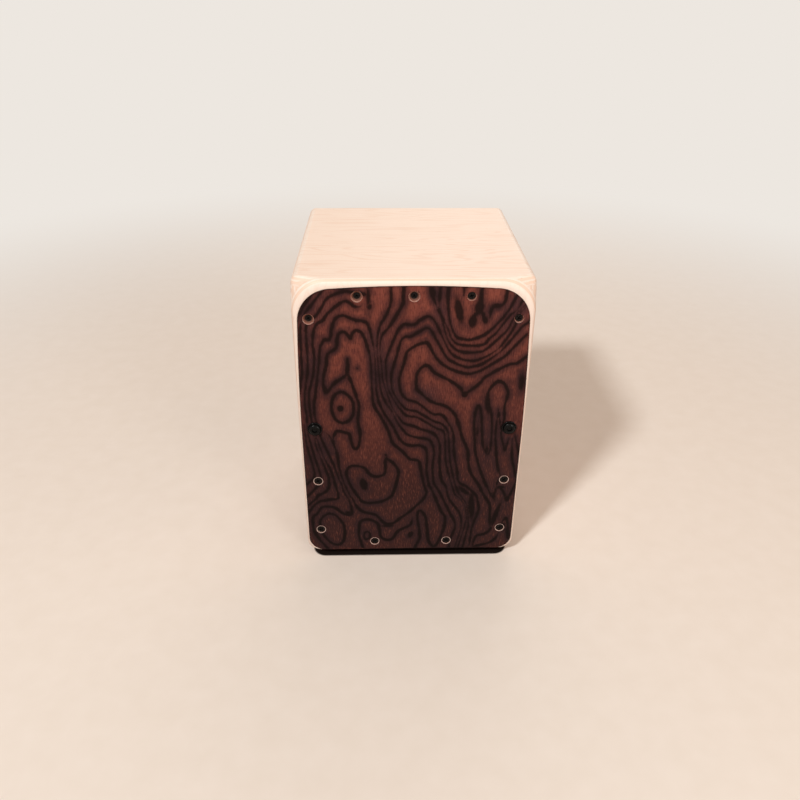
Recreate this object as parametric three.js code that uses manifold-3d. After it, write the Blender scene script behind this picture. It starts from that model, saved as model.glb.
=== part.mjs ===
// Mini cajon: a small plywood box drum with a thin, burl-veneered playing plate on its front.
// Millimetres, +Z up. The origin is on the floor under the middle of the whole drum,
// the playing plate looks towards -Y, and left and right are as seen from the player's side of it.
import * as THREE from "three";
import { mergeVertices } from "three/addons/utils/BufferGeometryUtils.js";
import Module from "manifold-3d";

const wasm = await Module();
wasm.setup();

// Driving dimensions of the box
const width = 155;
const depth = 162.5;
const boxHeight = 217;
const panelThickness = 6;
const backThickness = 5;
const coreThickness = 3.4;
const veneerThickness = 0.4;

// Joints: a glued joint is as thin as paper, and hardware has running room all round
const glueLine = 0.05;
const fit = 0.3;
const overrun = 2;

// Outline of the box seen from the front
const boxTopRadius = 5;
const boxBottomRadius = 8;

// The veneered face of the plate lies inside that outline, and the core is sanded round from there
const roundingDepth = 3.9;
const faceInset = { side: 1.3, shoulder: 3.7, crown: 3.3, topShoulder: 4.6, bottom: 1 };
const faceTopRadius = 21;
const faceBottomRadius = 9;
const taperStartShare = 0.47;

// The wide top corners of the plate run back into the box over this stretch behind the face
const cornerBlendStart = 2;
const cornerBlendEnd = 11;
const backRounding = 2;

// Battens that the plate and the back are fastened to
const battenWidth = 9.4;
const battenDepth = 9.5;
const backBattenSize = 8;

// Screws that hold the plate
const shankRadius = 1.4;
const screwLength = 11.5;
const screwTip = 2.5;
const upperSinkRadius = 4.5;
const upperHeadRadius = 2.4;
const lowerSinkRadius = 3.9;
const lowerHeadRadius = 3.2;
const topRowShare = 0.463;
const bottomRowShare = 0.348;
const bottomRowDrop = 2;
const upperCornerDrop = 25.8;
const lowerCornerRise = 20.7;
const lowerSideShare = 0.3;
const crossLengthShare = 0.58;
const crossWidthShare = 0.15;
const crossDepth = 0.8;

// Bolts of the snare rail
const boltHeadRadius = 5.1;
const boltHeadHeight = 2.6;
const boltRimHeight = 0.9;
const boltShankRadius = 2;
const boltSocketRadius = 2;
const boltSocketDepth = 1.5;
const boltHeightShare = 0.506;

// Snare rail, inserts and the wires that lie against the back of the plate
const railDepth = 10;
const railHeight = 14;
const insertRadius = 2.9;
const insertLength = 8;
const strandCount = 8;
const strandRadius = 1;
const strandPitch = 4.4;
const strandSeatShare = 0.7;
const snareBarThickness = 1.2;
const clampHeight = 9;
const clampEar = 7;
const freeBarHeight = 5;
const snareSpread = 27;
const snareTopGap = 8;
const snareScrew = { headRadius: 2.4, headHeight: 1.3, shankRadius: 1.2, length: 7, tip: 1.5 };

// Sound hole in the back
const soundHoleRadius = 27;
const soundHoleRounding = 1.5;

// Feet
const footHeight = 4.5;
const footTopRadius = 6.5;
const footBottomRadius = 5.5;
const footSideInset = 17;
const footEndInset = 20;
const footSinkRadius = 3.2;
const footSinkDepth = 2.4;
const footScrew = { headRadius: 2.6, headHeight: 1.2, shankRadius: 1.2, length: 6, tip: 1.5 };
const roundHeadTopShare = 0.7;

// Fineness of the round shapes
const arcSteps = 7;
const lowArcSteps = 4;
const taperSteps = 3;
const roundingSteps = 4;
const backSteps = 3;
const blendSteps = 4;
const socketSides = 6;
const holeSides = 20;
const screwSides = 16;
const boltSides = 24;
const soundHoleSides = 48;
const footSides = 24;
const strandSides = 6;
const weldDistance = 1e-4;

// Places worked out from the sizes above
const sideX = width / 2;
const faceY = (boltHeadHeight + fit - depth) / 2;
const coreY = faceY + veneerThickness + glueLine;
const plateBackY = coreY + coreThickness;
const boxFrontY = plateBackY + glueLine;
const backY = faceY + depth;
const boxBackY = backY - backThickness - glueLine;
const floorZ = footHeight;
const topZ = footHeight + boxHeight;
const innerX = sideX - panelThickness - glueLine;
const innerBottomZ = floorZ + panelThickness + glueLine;
const innerTopZ = topZ - panelThickness - glueLine;
const battenMiddle = panelThickness + glueLine + battenWidth / 2;
const battenBackY = boxFrontY + battenDepth;
const screwX = sideX - battenMiddle;
const boltZ = floorZ + boxHeight * boltHeightShare;
const railFrontY = battenBackY + glueLine;
const railBackY = railFrontY + railDepth;
const strandSpan = (strandCount - 1) * strandPitch;
const clampHalf = strandSpan / 2 + clampEar;
const clampFrontY = railFrontY - glueLine - snareBarThickness;
const footScrewHeadZ = footSinkDepth - fit;
const footScrewReach = footScrewHeadZ + footScrew.length - floorZ;

const sides = [
  { side: "left", sign: -1 },
  { side: "right", sign: 1 },
];

// Each screw of the plate: where it goes and how wide it is sunk
const upper = { sinkRadius: upperSinkRadius, headRadius: upperHeadRadius };
const lower = { sinkRadius: lowerSinkRadius, headRadius: lowerHeadRadius };
const topRowZ = topZ - battenMiddle;
const bottomRowZ = floorZ + battenMiddle - bottomRowDrop;
const lowerSideZ = floorZ + boxHeight * lowerSideShare;
const plateScrews = [{ place: "top_middle", x: 0, z: topRowZ, size: upper }];
for (const { side, sign } of sides) {
  plateScrews.push(
    { place: "top_" + side, x: sign * sideX * topRowShare, z: topRowZ, size: upper },
    { place: "upper_corner_" + side, x: sign * screwX, z: topZ - upperCornerDrop, size: upper },
    { place: "lower_side_" + side, x: sign * screwX, z: lowerSideZ, size: lower },
    { place: "lower_corner_" + side, x: sign * screwX, z: floorZ + lowerCornerRise, size: lower },
    { place: "bottom_" + side, x: sign * sideX * bottomRowShare, z: bottomRowZ, size: lower },
  );
}
const bolts = sides.map(({ side, sign }) => ({ side, x: sign * screwX, z: boltZ }));

// Each snare set has one screw in each ear of its clamp bar
const snareScrews = sides.flatMap(({ side, sign }) =>
  [
    { end: "inner", way: -sign },
    { end: "outer", way: sign },
  ].map(({ end, way }) => ({
    name: side + "_" + end,
    x: sign * snareSpread + way * (clampHalf - clampEar / 2),
  })),
);

const feet = sides.flatMap(({ side, sign }) => [
  { name: "front_" + side, x: sign * (sideX - footSideInset), y: faceY + footEndInset },
  { name: "back_" + side, x: sign * (sideX - footSideInset), y: backY - footEndInset },
]);

// Finishes
const birch = new THREE.MeshStandardMaterial({ color: 0xf2e0c6, roughness: 0.55, metalness: 0 });
const burl = new THREE.MeshStandardMaterial({ color: 0x5e2c22, roughness: 0.42, metalness: 0 });
const pine = new THREE.MeshStandardMaterial({ color: 0xdfc193, roughness: 0.7, metalness: 0 });
const blackSteel = new THREE.MeshStandardMaterial({ color: 0x1b1a19, roughness: 0.4, metalness: 0.8 });
const wireSteel = new THREE.MeshStandardMaterial({ color: 0xc4c7ca, roughness: 0.3, metalness: 1 });
const brass = new THREE.MeshStandardMaterial({ color: 0xc8a24e, roughness: 0.35, metalness: 1 });
const rubber = new THREE.MeshStandardMaterial({ color: 0x171616, roughness: 0.85, metalness: 0 });

// A closed mesh as a solid that can be cut and joined
function solidOf(geometry) {
  const bare = geometry.clone();
  bare.deleteAttribute("normal");
  bare.deleteAttribute("uv");
  const merged = mergeVertices(bare, weldDistance);
  return new wasm.Manifold(
    new wasm.Mesh({
      numProp: 3,
      vertProperties: merged.attributes.position.array,
      triVerts: new Uint32Array(merged.index.array),
    }),
  );
}

function geometryOf(solid) {
  const mesh = solid.getMesh();
  const geometry = new THREE.BufferGeometry();
  geometry.setAttribute("position", new THREE.BufferAttribute(mesh.vertProperties, mesh.numProp));
  geometry.setIndex(new THREE.BufferAttribute(mesh.triVerts, 1));
  geometry.computeVertexNormals();
  return geometry;
}

function addPiece(group, name, geometry, material) {
  const mesh = new THREE.Mesh(geometry, material);
  mesh.name = name;
  group.add(mesh);
  return mesh;
}

// A block between two corners
function block(low, high) {
  const size = high.map((value, axis) => value - low[axis]);
  const geometry = new THREE.BoxGeometry(...size);
  const places = geometry.attributes.position;
  for (let i = 0; i < places.count; i++) {
    const corner = [places.getX(i), places.getY(i), places.getZ(i)];
    places.setXYZ(i, ...corner.map((value, axis) => (value < 0 ? low[axis] : high[axis])));
  }
  return solidOf(geometry);
}

// A turned shape about the Y axis, from pairs of radius and height listed from the bottom up
function turned(profile, segments) {
  return new THREE.LatheGeometry(
    profile.map(([radius, height]) => new THREE.Vector2(radius, height)),
    segments,
  );
}

// Turns a shape that points along +Y so that it points out of the front of the box at one spot
function frontward(geometry, x, y, z) {
  return geometry.rotateX(Math.PI).translate(x, y, z);
}

function arc(x, z, radius, from, to, steps) {
  return Array.from({ length: steps + 1 }, (_, i) => {
    const angle = THREE.MathUtils.lerp(from, to, i / steps);
    return new THREE.Vector2(x + radius * Math.cos(angle), z + radius * Math.sin(angle));
  });
}

function bend(start, control, end, steps) {
  return new THREE.QuadraticBezierCurve(start, control, end).getPoints(steps);
}

// The outline of the box seen from the front, counterclockwise, with as many points at each station
function outline(inset, topRadius, bottomRadius) {
  const lowX = sideX - inset.side;
  const highX = sideX - inset.shoulder;
  const lowZ = floorZ + inset.bottom;
  const shoulderZ = topZ - inset.topShoulder - topRadius;
  const crownZ = topZ - inset.crown;
  const taperZ = floorZ + boxHeight * taperStartShare;
  const cornerX = highX - topRadius;
  const low = arc(lowX - bottomRadius, lowZ + bottomRadius, bottomRadius, -Math.PI / 2, 0, lowArcSteps);
  const taper = bend(
    new THREE.Vector2(lowX, taperZ),
    new THREE.Vector2(lowX, (taperZ + shoulderZ) / 2),
    new THREE.Vector2(highX, shoulderZ),
    taperSteps,
  );
  const corner = arc(cornerX, shoulderZ, topRadius, 0, Math.PI / 2, arcSteps);
  const crown = bend(
    new THREE.Vector2(cornerX, topZ - inset.topShoulder),
    new THREE.Vector2(cornerX / 2, crownZ),
    new THREE.Vector2(0, crownZ),
    taperSteps,
  );
  const right = [...low, ...taper.slice(0, -1), ...corner.slice(0, -1), ...crown];
  const left = right.slice(0, -1).reverse();
  return [...right, ...left.map((point) => new THREE.Vector2(-point.x, point.y))];
}

// One station of the box: its outline at a distance behind the face of the plate
function station(behind, insetScale) {
  const inset = {};
  for (const [edge, size] of Object.entries(faceInset)) {
    inset[edge] = size * insetScale;
  }
  const blend = THREE.MathUtils.smoothstep(behind, cornerBlendStart, cornerBlendEnd);
  const topRadius = THREE.MathUtils.lerp(faceTopRadius, boxTopRadius, blend);
  const bottomRadius = THREE.MathUtils.lerp(boxBottomRadius, faceBottomRadius, insetScale);
  return outline(inset, topRadius, bottomRadius).map(
    (point) => new THREE.Vector3(point.x, faceY + behind, point.y),
  );
}

// The last stations draw the outline in by one even inset for the rounded back edge
function backStation(inset) {
  const even = { side: inset, shoulder: inset, crown: inset, topShoulder: inset, bottom: inset };
  const y = backY - backRounding + Math.sqrt(backRounding ** 2 - (backRounding - inset) ** 2);
  return outline(even, boxTopRadius - inset, boxBottomRadius - inset).map(
    (point) => new THREE.Vector3(point.x, y, point.y),
  );
}

// A closed skin over rings of points that run from the front to the back
function loft(rings) {
  const count = rings[0].length;
  const points = rings.flat();
  const faces = [];
  for (let ring = 0; ring < rings.length - 1; ring++) {
    for (let i = 0; i < count; i++) {
      const here = ring * count + i;
      const next = ring * count + ((i + 1) % count);
      faces.push(here, here + count, next, next, here + count, next + count);
    }
  }
  for (const [ring, turn] of [
    [0, 1],
    [rings.length - 1, -1],
  ]) {
    const middle = points.length;
    const sum = rings[ring].reduce((total, point) => total.add(point), new THREE.Vector3());
    points.push(sum.divideScalar(count));
    for (let i = 0; i < count; i++) {
      const here = ring * count + i;
      const next = ring * count + ((i + 1) % count);
      faces.push(middle, ...(turn > 0 ? [here, next] : [next, here]));
    }
  }
  const geometry = new THREE.BufferGeometry().setFromPoints(points);
  geometry.setIndex(faces);
  return geometry;
}

// The whole outside of the drum, which the plate, the panels and the back are cut from
function envelope() {
  const rings = [station(0, 1)];
  for (let i = 0; i <= roundingSteps; i++) {
    const angle = ((Math.PI / 2) * i) / roundingSteps;
    const behind = THREE.MathUtils.lerp(veneerThickness, roundingDepth, 1 - Math.cos(angle));
    rings.push(station(behind, 1 - Math.sin(angle)));
  }
  for (let i = 1; i <= blendSteps; i++) {
    rings.push(station(THREE.MathUtils.lerp(roundingDepth, cornerBlendEnd, i / blendSteps), 0));
  }
  for (let i = 0; i <= backSteps; i++) {
    const angle = ((Math.PI / 2) * i) / backSteps;
    rings.push(backStation(backRounding * (1 - Math.cos(angle))));
  }
  return solidOf(loft(rings));
}

const skin = envelope();

// A layer of the drum between two depths
function layer(fromY, toY) {
  return block([-width, fromY, -overrun], [width, toY, topZ + overrun]).intersect(skin);
}

// Cuts a hole of one radius that runs along Y between two depths
function bore(x, z, radius, fromY, toY, segments = holeSides) {
  const length = toY - fromY;
  const geometry = new THREE.CylinderGeometry(radius, radius, length, segments);
  return solidOf(geometry.translate(x, fromY + length / 2, z));
}

function countersink({ x, z, size }) {
  const boreRadius = shankRadius + fit;
  const profile = [
    [0, -screwLength],
    [boreRadius, -screwLength],
    [boreRadius, boreRadius - size.sinkRadius],
    [size.sinkRadius + overrun, overrun],
    [0, overrun],
  ];
  return solidOf(frontward(turned(profile, holeSides), x, faceY, z));
}

function cutAll(solid, cutters) {
  return cutters.reduce((left, cutter) => left.subtract(cutter), solid);
}

// A cross recess in the head of a screw whose head is flat at height zero
function crossRecess(headRadius, depthBelow) {
  const reach = headRadius * crossLengthShare;
  const half = headRadius * crossWidthShare;
  const bar = block([-reach, -depthBelow, -half], [reach, overrun, half]);
  return bar.add(block([-half, -depthBelow, -reach], [half, overrun, reach]));
}

// A countersunk wood screw along Y with the top of its head at height zero
function countersunkScrew(headRadius) {
  const profile = [
    [0, -screwLength],
    [shankRadius, -screwLength + screwTip],
    [shankRadius, shankRadius - headRadius],
    [headRadius, 0],
    [0, 0],
  ];
  return geometryOf(solidOf(turned(profile, screwSides)).subtract(crossRecess(headRadius, crossDepth)));
}

// A round-headed wood screw along Y with the underside of its head at height zero
function roundHeadScrew(size) {
  const profile = [
    [0, -size.length],
    [size.shankRadius, -size.length + size.tip],
    [size.shankRadius, 0],
    [size.headRadius, 0],
    [size.headRadius, size.headHeight / 2],
    [size.headRadius * roundHeadTopShare, size.headHeight],
    [0, size.headHeight],
  ];
  const recess = crossRecess(size.headRadius, size.headHeight / 2).translate(0, size.headHeight, 0);
  return geometryOf(solidOf(turned(profile, screwSides)).subtract(recess));
}

const drum = new THREE.Group();

// Playing plate: a pale plywood core with a burl veneer on its face
function addPlate() {
  const plate = new THREE.Group();
  const sinks = plateScrews.map(countersink);
  const throughs = bolts.map(({ x, z }) =>
    bore(x, z, boltShankRadius + fit, faceY - overrun, boxFrontY + overrun),
  );
  const cutters = [...sinks, ...throughs];
  const veneer = layer(faceY - overrun, faceY + veneerThickness);
  const core = layer(coreY, plateBackY);
  addPiece(plate, "burl_veneer", geometryOf(cutAll(veneer, cutters)), burl);
  addPiece(plate, "front_plate", geometryOf(cutAll(core, cutters)), birch);
  drum.add(plate);
}

// The four walls of the box: top and bottom run the full width and the sides stand between them
function addWalls() {
  const walls = new THREE.Group();
  const wall = layer(boxFrontY, boxBackY);
  const top = block([-width, -depth, topZ - panelThickness], [width, depth, topZ + overrun]);
  const bottom = block([-width, -depth, -overrun], [width, depth, floorZ + panelThickness]);
  const pilotRadius = footScrew.shankRadius + fit;
  const pilotDepth = footScrewReach + fit;
  const pilots = feet.map(({ x, y }) => {
    const pilot = new THREE.CylinderGeometry(pilotRadius, pilotRadius, pilotDepth + overrun, holeSides);
    return solidOf(pilot.rotateX(Math.PI / 2).translate(x, y, floorZ + (pilotDepth - overrun) / 2));
  });
  addPiece(walls, "top_panel", geometryOf(wall.intersect(top)), birch);
  addPiece(walls, "bottom_panel", geometryOf(cutAll(wall.intersect(bottom), pilots)), birch);
  for (const { side, sign } of sides) {
    const nearX = sign * (sideX - panelThickness);
    const farX = sign * (sideX + overrun);
    const slab = block(
      [Math.min(nearX, farX), -depth, innerBottomZ],
      [Math.max(nearX, farX), depth, innerTopZ],
    );
    addPiece(walls, side + "_side_panel", geometryOf(wall.intersect(slab)), birch);
  }
  drum.add(walls);
}

// The back with its sound hole, whose outer edge is rounded
function addBack() {
  const hole = soundHoleRadius;
  const rounding = arc(
    hole + soundHoleRounding,
    backThickness - soundHoleRounding,
    soundHoleRounding,
    Math.PI,
    Math.PI / 2,
    taperSteps,
  ).map((point) => [point.x, point.y]);
  const profile = [
    [0, -overrun],
    [hole, -overrun],
    ...rounding,
    [hole + soundHoleRounding, backThickness + overrun],
    [0, backThickness + overrun],
  ];
  const cutter = solidOf(
    turned(profile, soundHoleSides).translate(0, backY - backThickness, floorZ + boxHeight / 2),
  );
  const panel = layer(backY - backThickness, backY + overrun).subtract(cutter);
  addPiece(drum, "back_panel", geometryOf(panel), birch);
}

// One frame of four battens inside the walls: the upright ones run the full height
function addBattens(prefix, size, fromY, toY, cutters) {
  const frame = new THREE.Group();
  const inner = innerX - size;
  const span = inner - glueLine;
  const blocks = {
    left: block([-innerX, fromY, innerBottomZ], [-inner, toY, innerTopZ]),
    right: block([inner, fromY, innerBottomZ], [innerX, toY, innerTopZ]),
    top: block([-span, fromY, innerTopZ - size], [span, toY, innerTopZ]),
    bottom: block([-span, fromY, innerBottomZ], [span, toY, innerBottomZ + size]),
  };
  for (const [side, solid] of Object.entries(blocks)) {
    const batten = cutAll(solid.intersect(skin), cutters);
    addPiece(frame, prefix + "_batten_" + side, geometryOf(batten), pine);
  }
  drum.add(frame);
}

function addFrames() {
  const pilots = plateScrews.map(({ x, z }) =>
    bore(x, z, shankRadius + fit, boxFrontY - overrun, faceY + screwLength + fit + screwTip),
  );
  const passages = bolts.map(({ x, z }) =>
    bore(x, z, boltShankRadius + fit, boxFrontY - overrun, battenBackY + overrun),
  );
  addBattens("front", battenWidth, boxFrontY, battenBackY, [...pilots, ...passages]);
  addBattens("back", backBattenSize, boxBackY - backBattenSize, boxBackY, []);
}

// Screws and bolts that show on the face of the plate
function addFaceHardware() {
  const hardware = new THREE.Group();
  for (const { place, x, z, size } of plateScrews) {
    const screw = addPiece(hardware, "plate_screw_" + place, countersunkScrew(size.headRadius), blackSteel);
    screw.rotation.x = Math.PI;
    screw.position.set(x, faceY + size.sinkRadius - size.headRadius - fit, z);
  }
  const boltLength = railBackY - faceY - fit;
  const dome = arc(0, 0, 1, 0, Math.PI / 2, lowArcSteps).map((point) => [
    point.x * boltHeadRadius,
    THREE.MathUtils.lerp(boltRimHeight, boltHeadHeight, point.y),
  ]);
  const profile = [
    [0, -boltLength],
    [boltShankRadius, -boltLength],
    [boltShankRadius, 0],
    [boltHeadRadius, 0],
    ...dome,
  ];
  const socketLength = 2 * boltSocketDepth;
  const socket = new THREE.CylinderGeometry(boltSocketRadius, boltSocketRadius, socketLength, socketSides);
  const bolt = solidOf(turned(profile, boltSides)).subtract(
    solidOf(socket.translate(0, boltHeadHeight, 0)),
  );
  for (const { side, x, z } of bolts) {
    const mesh = addPiece(hardware, "snare_bolt_" + side, geometryOf(bolt), blackSteel);
    mesh.rotation.x = Math.PI;
    mesh.position.set(x, faceY - fit, z);
  }
  drum.add(hardware);
}

// The rail across the box behind the front battens, with a threaded insert for each bolt
function addSnareRail() {
  const rail = block(
    [-innerX, railFrontY, boltZ - railHeight / 2],
    [innerX, railBackY, boltZ + railHeight / 2],
  );
  const sockets = bolts.map(({ x, z }) =>
    bore(x, z, insertRadius + fit, railFrontY - overrun, railBackY + overrun),
  );
  const pilots = snareScrews.map(({ x }) =>
    bore(x, boltZ, snareScrew.shankRadius + fit, railFrontY - overrun, railFrontY + snareScrew.length),
  );
  addPiece(drum, "snare_rail", geometryOf(cutAll(rail, [...sockets, ...pilots])), pine);
  for (const { side, x, z } of bolts) {
    const insert = bore(x, z, insertRadius, railFrontY + fit, railFrontY + fit + insertLength);
    const thread = bore(x, z, boltShankRadius + fit, railFrontY - overrun, railBackY + overrun);
    addPiece(drum, "snare_insert_" + side, geometryOf(insert.subtract(thread)), brass);
  }
}

// One set of snare wires about x = 0: clamp bar on the rail, straight strands, free bar at the plate
function snareSet() {
  const freeTopZ = innerTopZ - battenWidth - snareTopGap;
  const freeFrontY = boxFrontY + fit;
  const freeBackY = freeFrontY + snareBarThickness;
  const clampTopZ = boltZ + clampHeight / 2;
  const offset = strandRadius * strandSeatShare;
  const start = new THREE.Vector3(0, clampFrontY - offset, clampTopZ - clampHeight / 3);
  const end = new THREE.Vector3(0, freeBackY + offset, freeTopZ - freeBarHeight / 3);
  const along = end.clone().sub(start);
  const lean = Math.atan2(along.z, along.y);
  let set = block(
    [-clampHalf, clampFrontY, boltZ - clampHeight / 2],
    [clampHalf, clampFrontY + snareBarThickness, clampTopZ],
  );
  const freeHalf = strandSpan / 2 + 2 * strandRadius;
  set = set.add(block([-freeHalf, freeFrontY, freeTopZ - freeBarHeight], [freeHalf, freeBackY, freeTopZ]));
  for (let i = 0; i < strandCount; i++) {
    const strand = new THREE.CylinderGeometry(strandRadius, strandRadius, along.length(), strandSides);
    const x = i * strandPitch - strandSpan / 2;
    strand.rotateX(lean).translate(x, (start.y + end.y) / 2, (start.z + end.z) / 2);
    set = set.add(solidOf(strand));
  }
  const holeRadius = snareScrew.shankRadius + fit;
  for (const way of [-1, 1]) {
    const x = way * (clampHalf - clampEar / 2);
    set = set.subtract(bore(x, boltZ, holeRadius, clampFrontY - overrun, railFrontY, screwSides));
  }
  return set;
}

function addSnares() {
  const snares = new THREE.Group();
  const set = geometryOf(snareSet());
  for (const { side, sign } of sides) {
    addPiece(snares, "snare_set_" + side, set, wireSteel).position.x = sign * snareSpread;
  }
  for (const { name, x } of snareScrews) {
    const screw = addPiece(snares, "snare_screw_" + name, roundHeadScrew(snareScrew), blackSteel);
    screw.rotation.x = Math.PI;
    screw.position.set(x, clampFrontY - fit, boltZ);
  }
  drum.add(snares);
}

// Rubber feet, each with a screw up into the bottom panel
function addFeet() {
  const standing = new THREE.Group();
  const boreRadius = footScrew.shankRadius + fit;
  const profile = [
    [footSinkRadius, 0],
    [footBottomRadius, 0],
    [footTopRadius, footHeight - glueLine],
    [boreRadius, footHeight - glueLine],
    [boreRadius, footSinkDepth],
    [footSinkRadius, footSinkDepth],
    [footSinkRadius, 0],
  ];
  for (const { name, x, y } of feet) {
    const foot = addPiece(standing, "foot_" + name, turned(profile, footSides), rubber);
    foot.rotation.x = Math.PI / 2;
    foot.position.set(x, y, 0);
    const screw = addPiece(standing, "foot_screw_" + name, roundHeadScrew(footScrew), blackSteel);
    screw.rotation.x = -Math.PI / 2;
    screw.position.set(x, y, footScrewHeadZ);
  }
  drum.add(standing);
}

addPlate();
addWalls();
addBack();
addFrames();
addFaceHardware();
addSnareRail();
addSnares();
addFeet();

export default drum;
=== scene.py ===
import math

import bmesh
import bpy
import numpy as np
from mathutils import Matrix, Vector
from mathutils.geometry import delaunay_2d_cdt
from mathutils.kdtree import KDTree


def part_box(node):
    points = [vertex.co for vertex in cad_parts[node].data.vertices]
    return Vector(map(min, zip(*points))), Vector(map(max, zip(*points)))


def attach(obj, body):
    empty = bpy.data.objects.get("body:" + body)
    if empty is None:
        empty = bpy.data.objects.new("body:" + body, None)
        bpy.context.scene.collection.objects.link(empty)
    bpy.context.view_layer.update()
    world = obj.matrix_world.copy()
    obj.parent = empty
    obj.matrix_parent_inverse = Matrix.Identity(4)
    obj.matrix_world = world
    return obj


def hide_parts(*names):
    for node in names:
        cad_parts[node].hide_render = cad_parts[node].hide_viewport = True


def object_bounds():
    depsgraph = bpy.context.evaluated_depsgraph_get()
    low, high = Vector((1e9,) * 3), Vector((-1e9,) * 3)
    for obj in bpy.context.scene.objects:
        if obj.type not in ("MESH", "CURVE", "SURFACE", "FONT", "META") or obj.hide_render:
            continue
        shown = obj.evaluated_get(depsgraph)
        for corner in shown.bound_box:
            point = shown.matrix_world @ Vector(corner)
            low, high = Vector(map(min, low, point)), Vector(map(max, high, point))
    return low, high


# Mini cajon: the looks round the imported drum. Sizes are in millimetres, and become metres where a mesh is
# made.
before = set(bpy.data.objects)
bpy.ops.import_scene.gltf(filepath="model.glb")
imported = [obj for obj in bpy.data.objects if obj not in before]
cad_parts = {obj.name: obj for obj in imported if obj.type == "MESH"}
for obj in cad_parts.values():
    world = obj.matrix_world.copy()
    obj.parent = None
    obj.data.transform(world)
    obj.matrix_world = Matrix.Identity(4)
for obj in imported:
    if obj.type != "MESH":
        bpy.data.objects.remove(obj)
cad_low, cad_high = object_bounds()
MM = 0.001

# Sizes of the drum, as its solids have them
WIDTH, DEPTH, BOX_HEIGHT = 155.0, 162.5, 217.0
PANEL, BACK, VENEER, CORE = 6.0, 5.0, 0.4, 3.4
GLUE_LINE, FIT = 0.05, 0.3
BOX_TOP_RADIUS, BOX_BOTTOM_RADIUS = 5.0, 8.0
ROUNDING_DEPTH, BACK_ROUNDING = 3.9, 2.0
SHANK, BOLT_SHANK = 1.4, 2.0
SOUND_HOLE, SOUND_HOLE_ROUNDING = 27.0, 1.5
BOLT_HEAD = {"radius": 5.1, "height": 2.6, "socket": 2.0, "depth": 1.5}
# The sides lean in from this share of the height up
TAPER_START = 0.47
# and the corners go from the plate's radius to the box's between these distances behind the face
BLEND_START, BLEND_END = 2.0, 11.0
# The veneer's outline lies up to 1 mm away from its solid's, as enlarged looks at the photo showed later
FACE_INSET = {"side": 1.65, "shoulder": 3.7, "crown": 3.8, "top_shoulder": 5.5, "bottom": 1.0}
FACE_TOP_RADIUS, FACE_BOTTOM_RADIUS = 22.5, 11.5

SIDE_X = WIDTH / 2
FACE_Y = cad_low.y / MM + BOLT_HEAD["height"] + FIT
CORE_Y = FACE_Y + VENEER + GLUE_LINE
PLATE_BACK_Y = CORE_Y + CORE
BOX_FRONT_Y = PLATE_BACK_Y + GLUE_LINE
BACK_Y = FACE_Y + DEPTH
BOX_BACK_Y = BACK_Y - BACK - GLUE_LINE
FLOOR_Z = 4.5
TOP_Z = FLOOR_Z + BOX_HEIGHT


# Materials -----------------------------------------------------------------------------------

# Input 0 of a mix is its share, 6 and 7 its colours. A map range takes input 0 from between 1 and 2 to
# between 3 and 4, which are 0 and 1 where they aren't given.
MATH, MIX, RANGE = "ShaderNodeMath", "ShaderNodeMix", "ShaderNodeMapRange"
NOISE, MAPPING, BUMP = "ShaderNodeTexNoise", "ShaderNodeMapping", "ShaderNodeBump"


def colour(code):
    """An sRGB hex value as linear red, green, blue and alpha."""
    channels = [int(code[i:i + 2], 16) / 255 for i in (1, 3, 5)]
    return [c / 12.92 if c <= 0.04045 else ((c + 0.055) / 1.055) ** 2.4 for c in channels] + [1.0]


def add(tree, kind, inputs=None, **settings):
    """One node with its settings. Each input is a value, or a socket or a node that it is linked to."""
    made = tree.nodes.new(kind)
    for name, value in settings.items():
        setattr(made, name, value)
    for key, value in (inputs or {}).items():
        if isinstance(value, bpy.types.Node):
            value = next(socket for socket in value.outputs if socket.enabled)
        if isinstance(value, bpy.types.NodeSocket):
            tree.links.new(value, made.inputs[key])
        else:
            made.inputs[key].default_value = value
    return made


def grain_scale(across, along, axis):
    """A pattern's scale in x, y and z, from its sizes in millimetres across the grain and along it."""
    sizes = [across] * 3
    sizes[axis] = along
    return [1 / (size * MM) for size in sizes]


def new_material(name):
    """An empty material, its tree, and the object coordinates that its patterns lie on."""
    made = bpy.data.materials.new(name)
    made.use_nodes = True
    tree = made.node_tree
    tree.nodes.clear()
    return made, tree, add(tree, "ShaderNodeTexCoord").outputs["Object"]


def end_material(made, tree, look):
    """Gives a material its shader, with the look's values set and its patterns linked."""
    shader = add(tree, "ShaderNodeBsdfPrincipled", look)
    add(tree, "ShaderNodeOutputMaterial", {"Surface": shader})
    return made


BIRCH_LIGHT, BIRCH_LINE, BIRCH_FLECK = "#FCF1E6", "#E6C2A8", "#B1846A"
BIRCH_INNER, BIRCH_GLUE = "#F4DCC9", "#C9A283"


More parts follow.
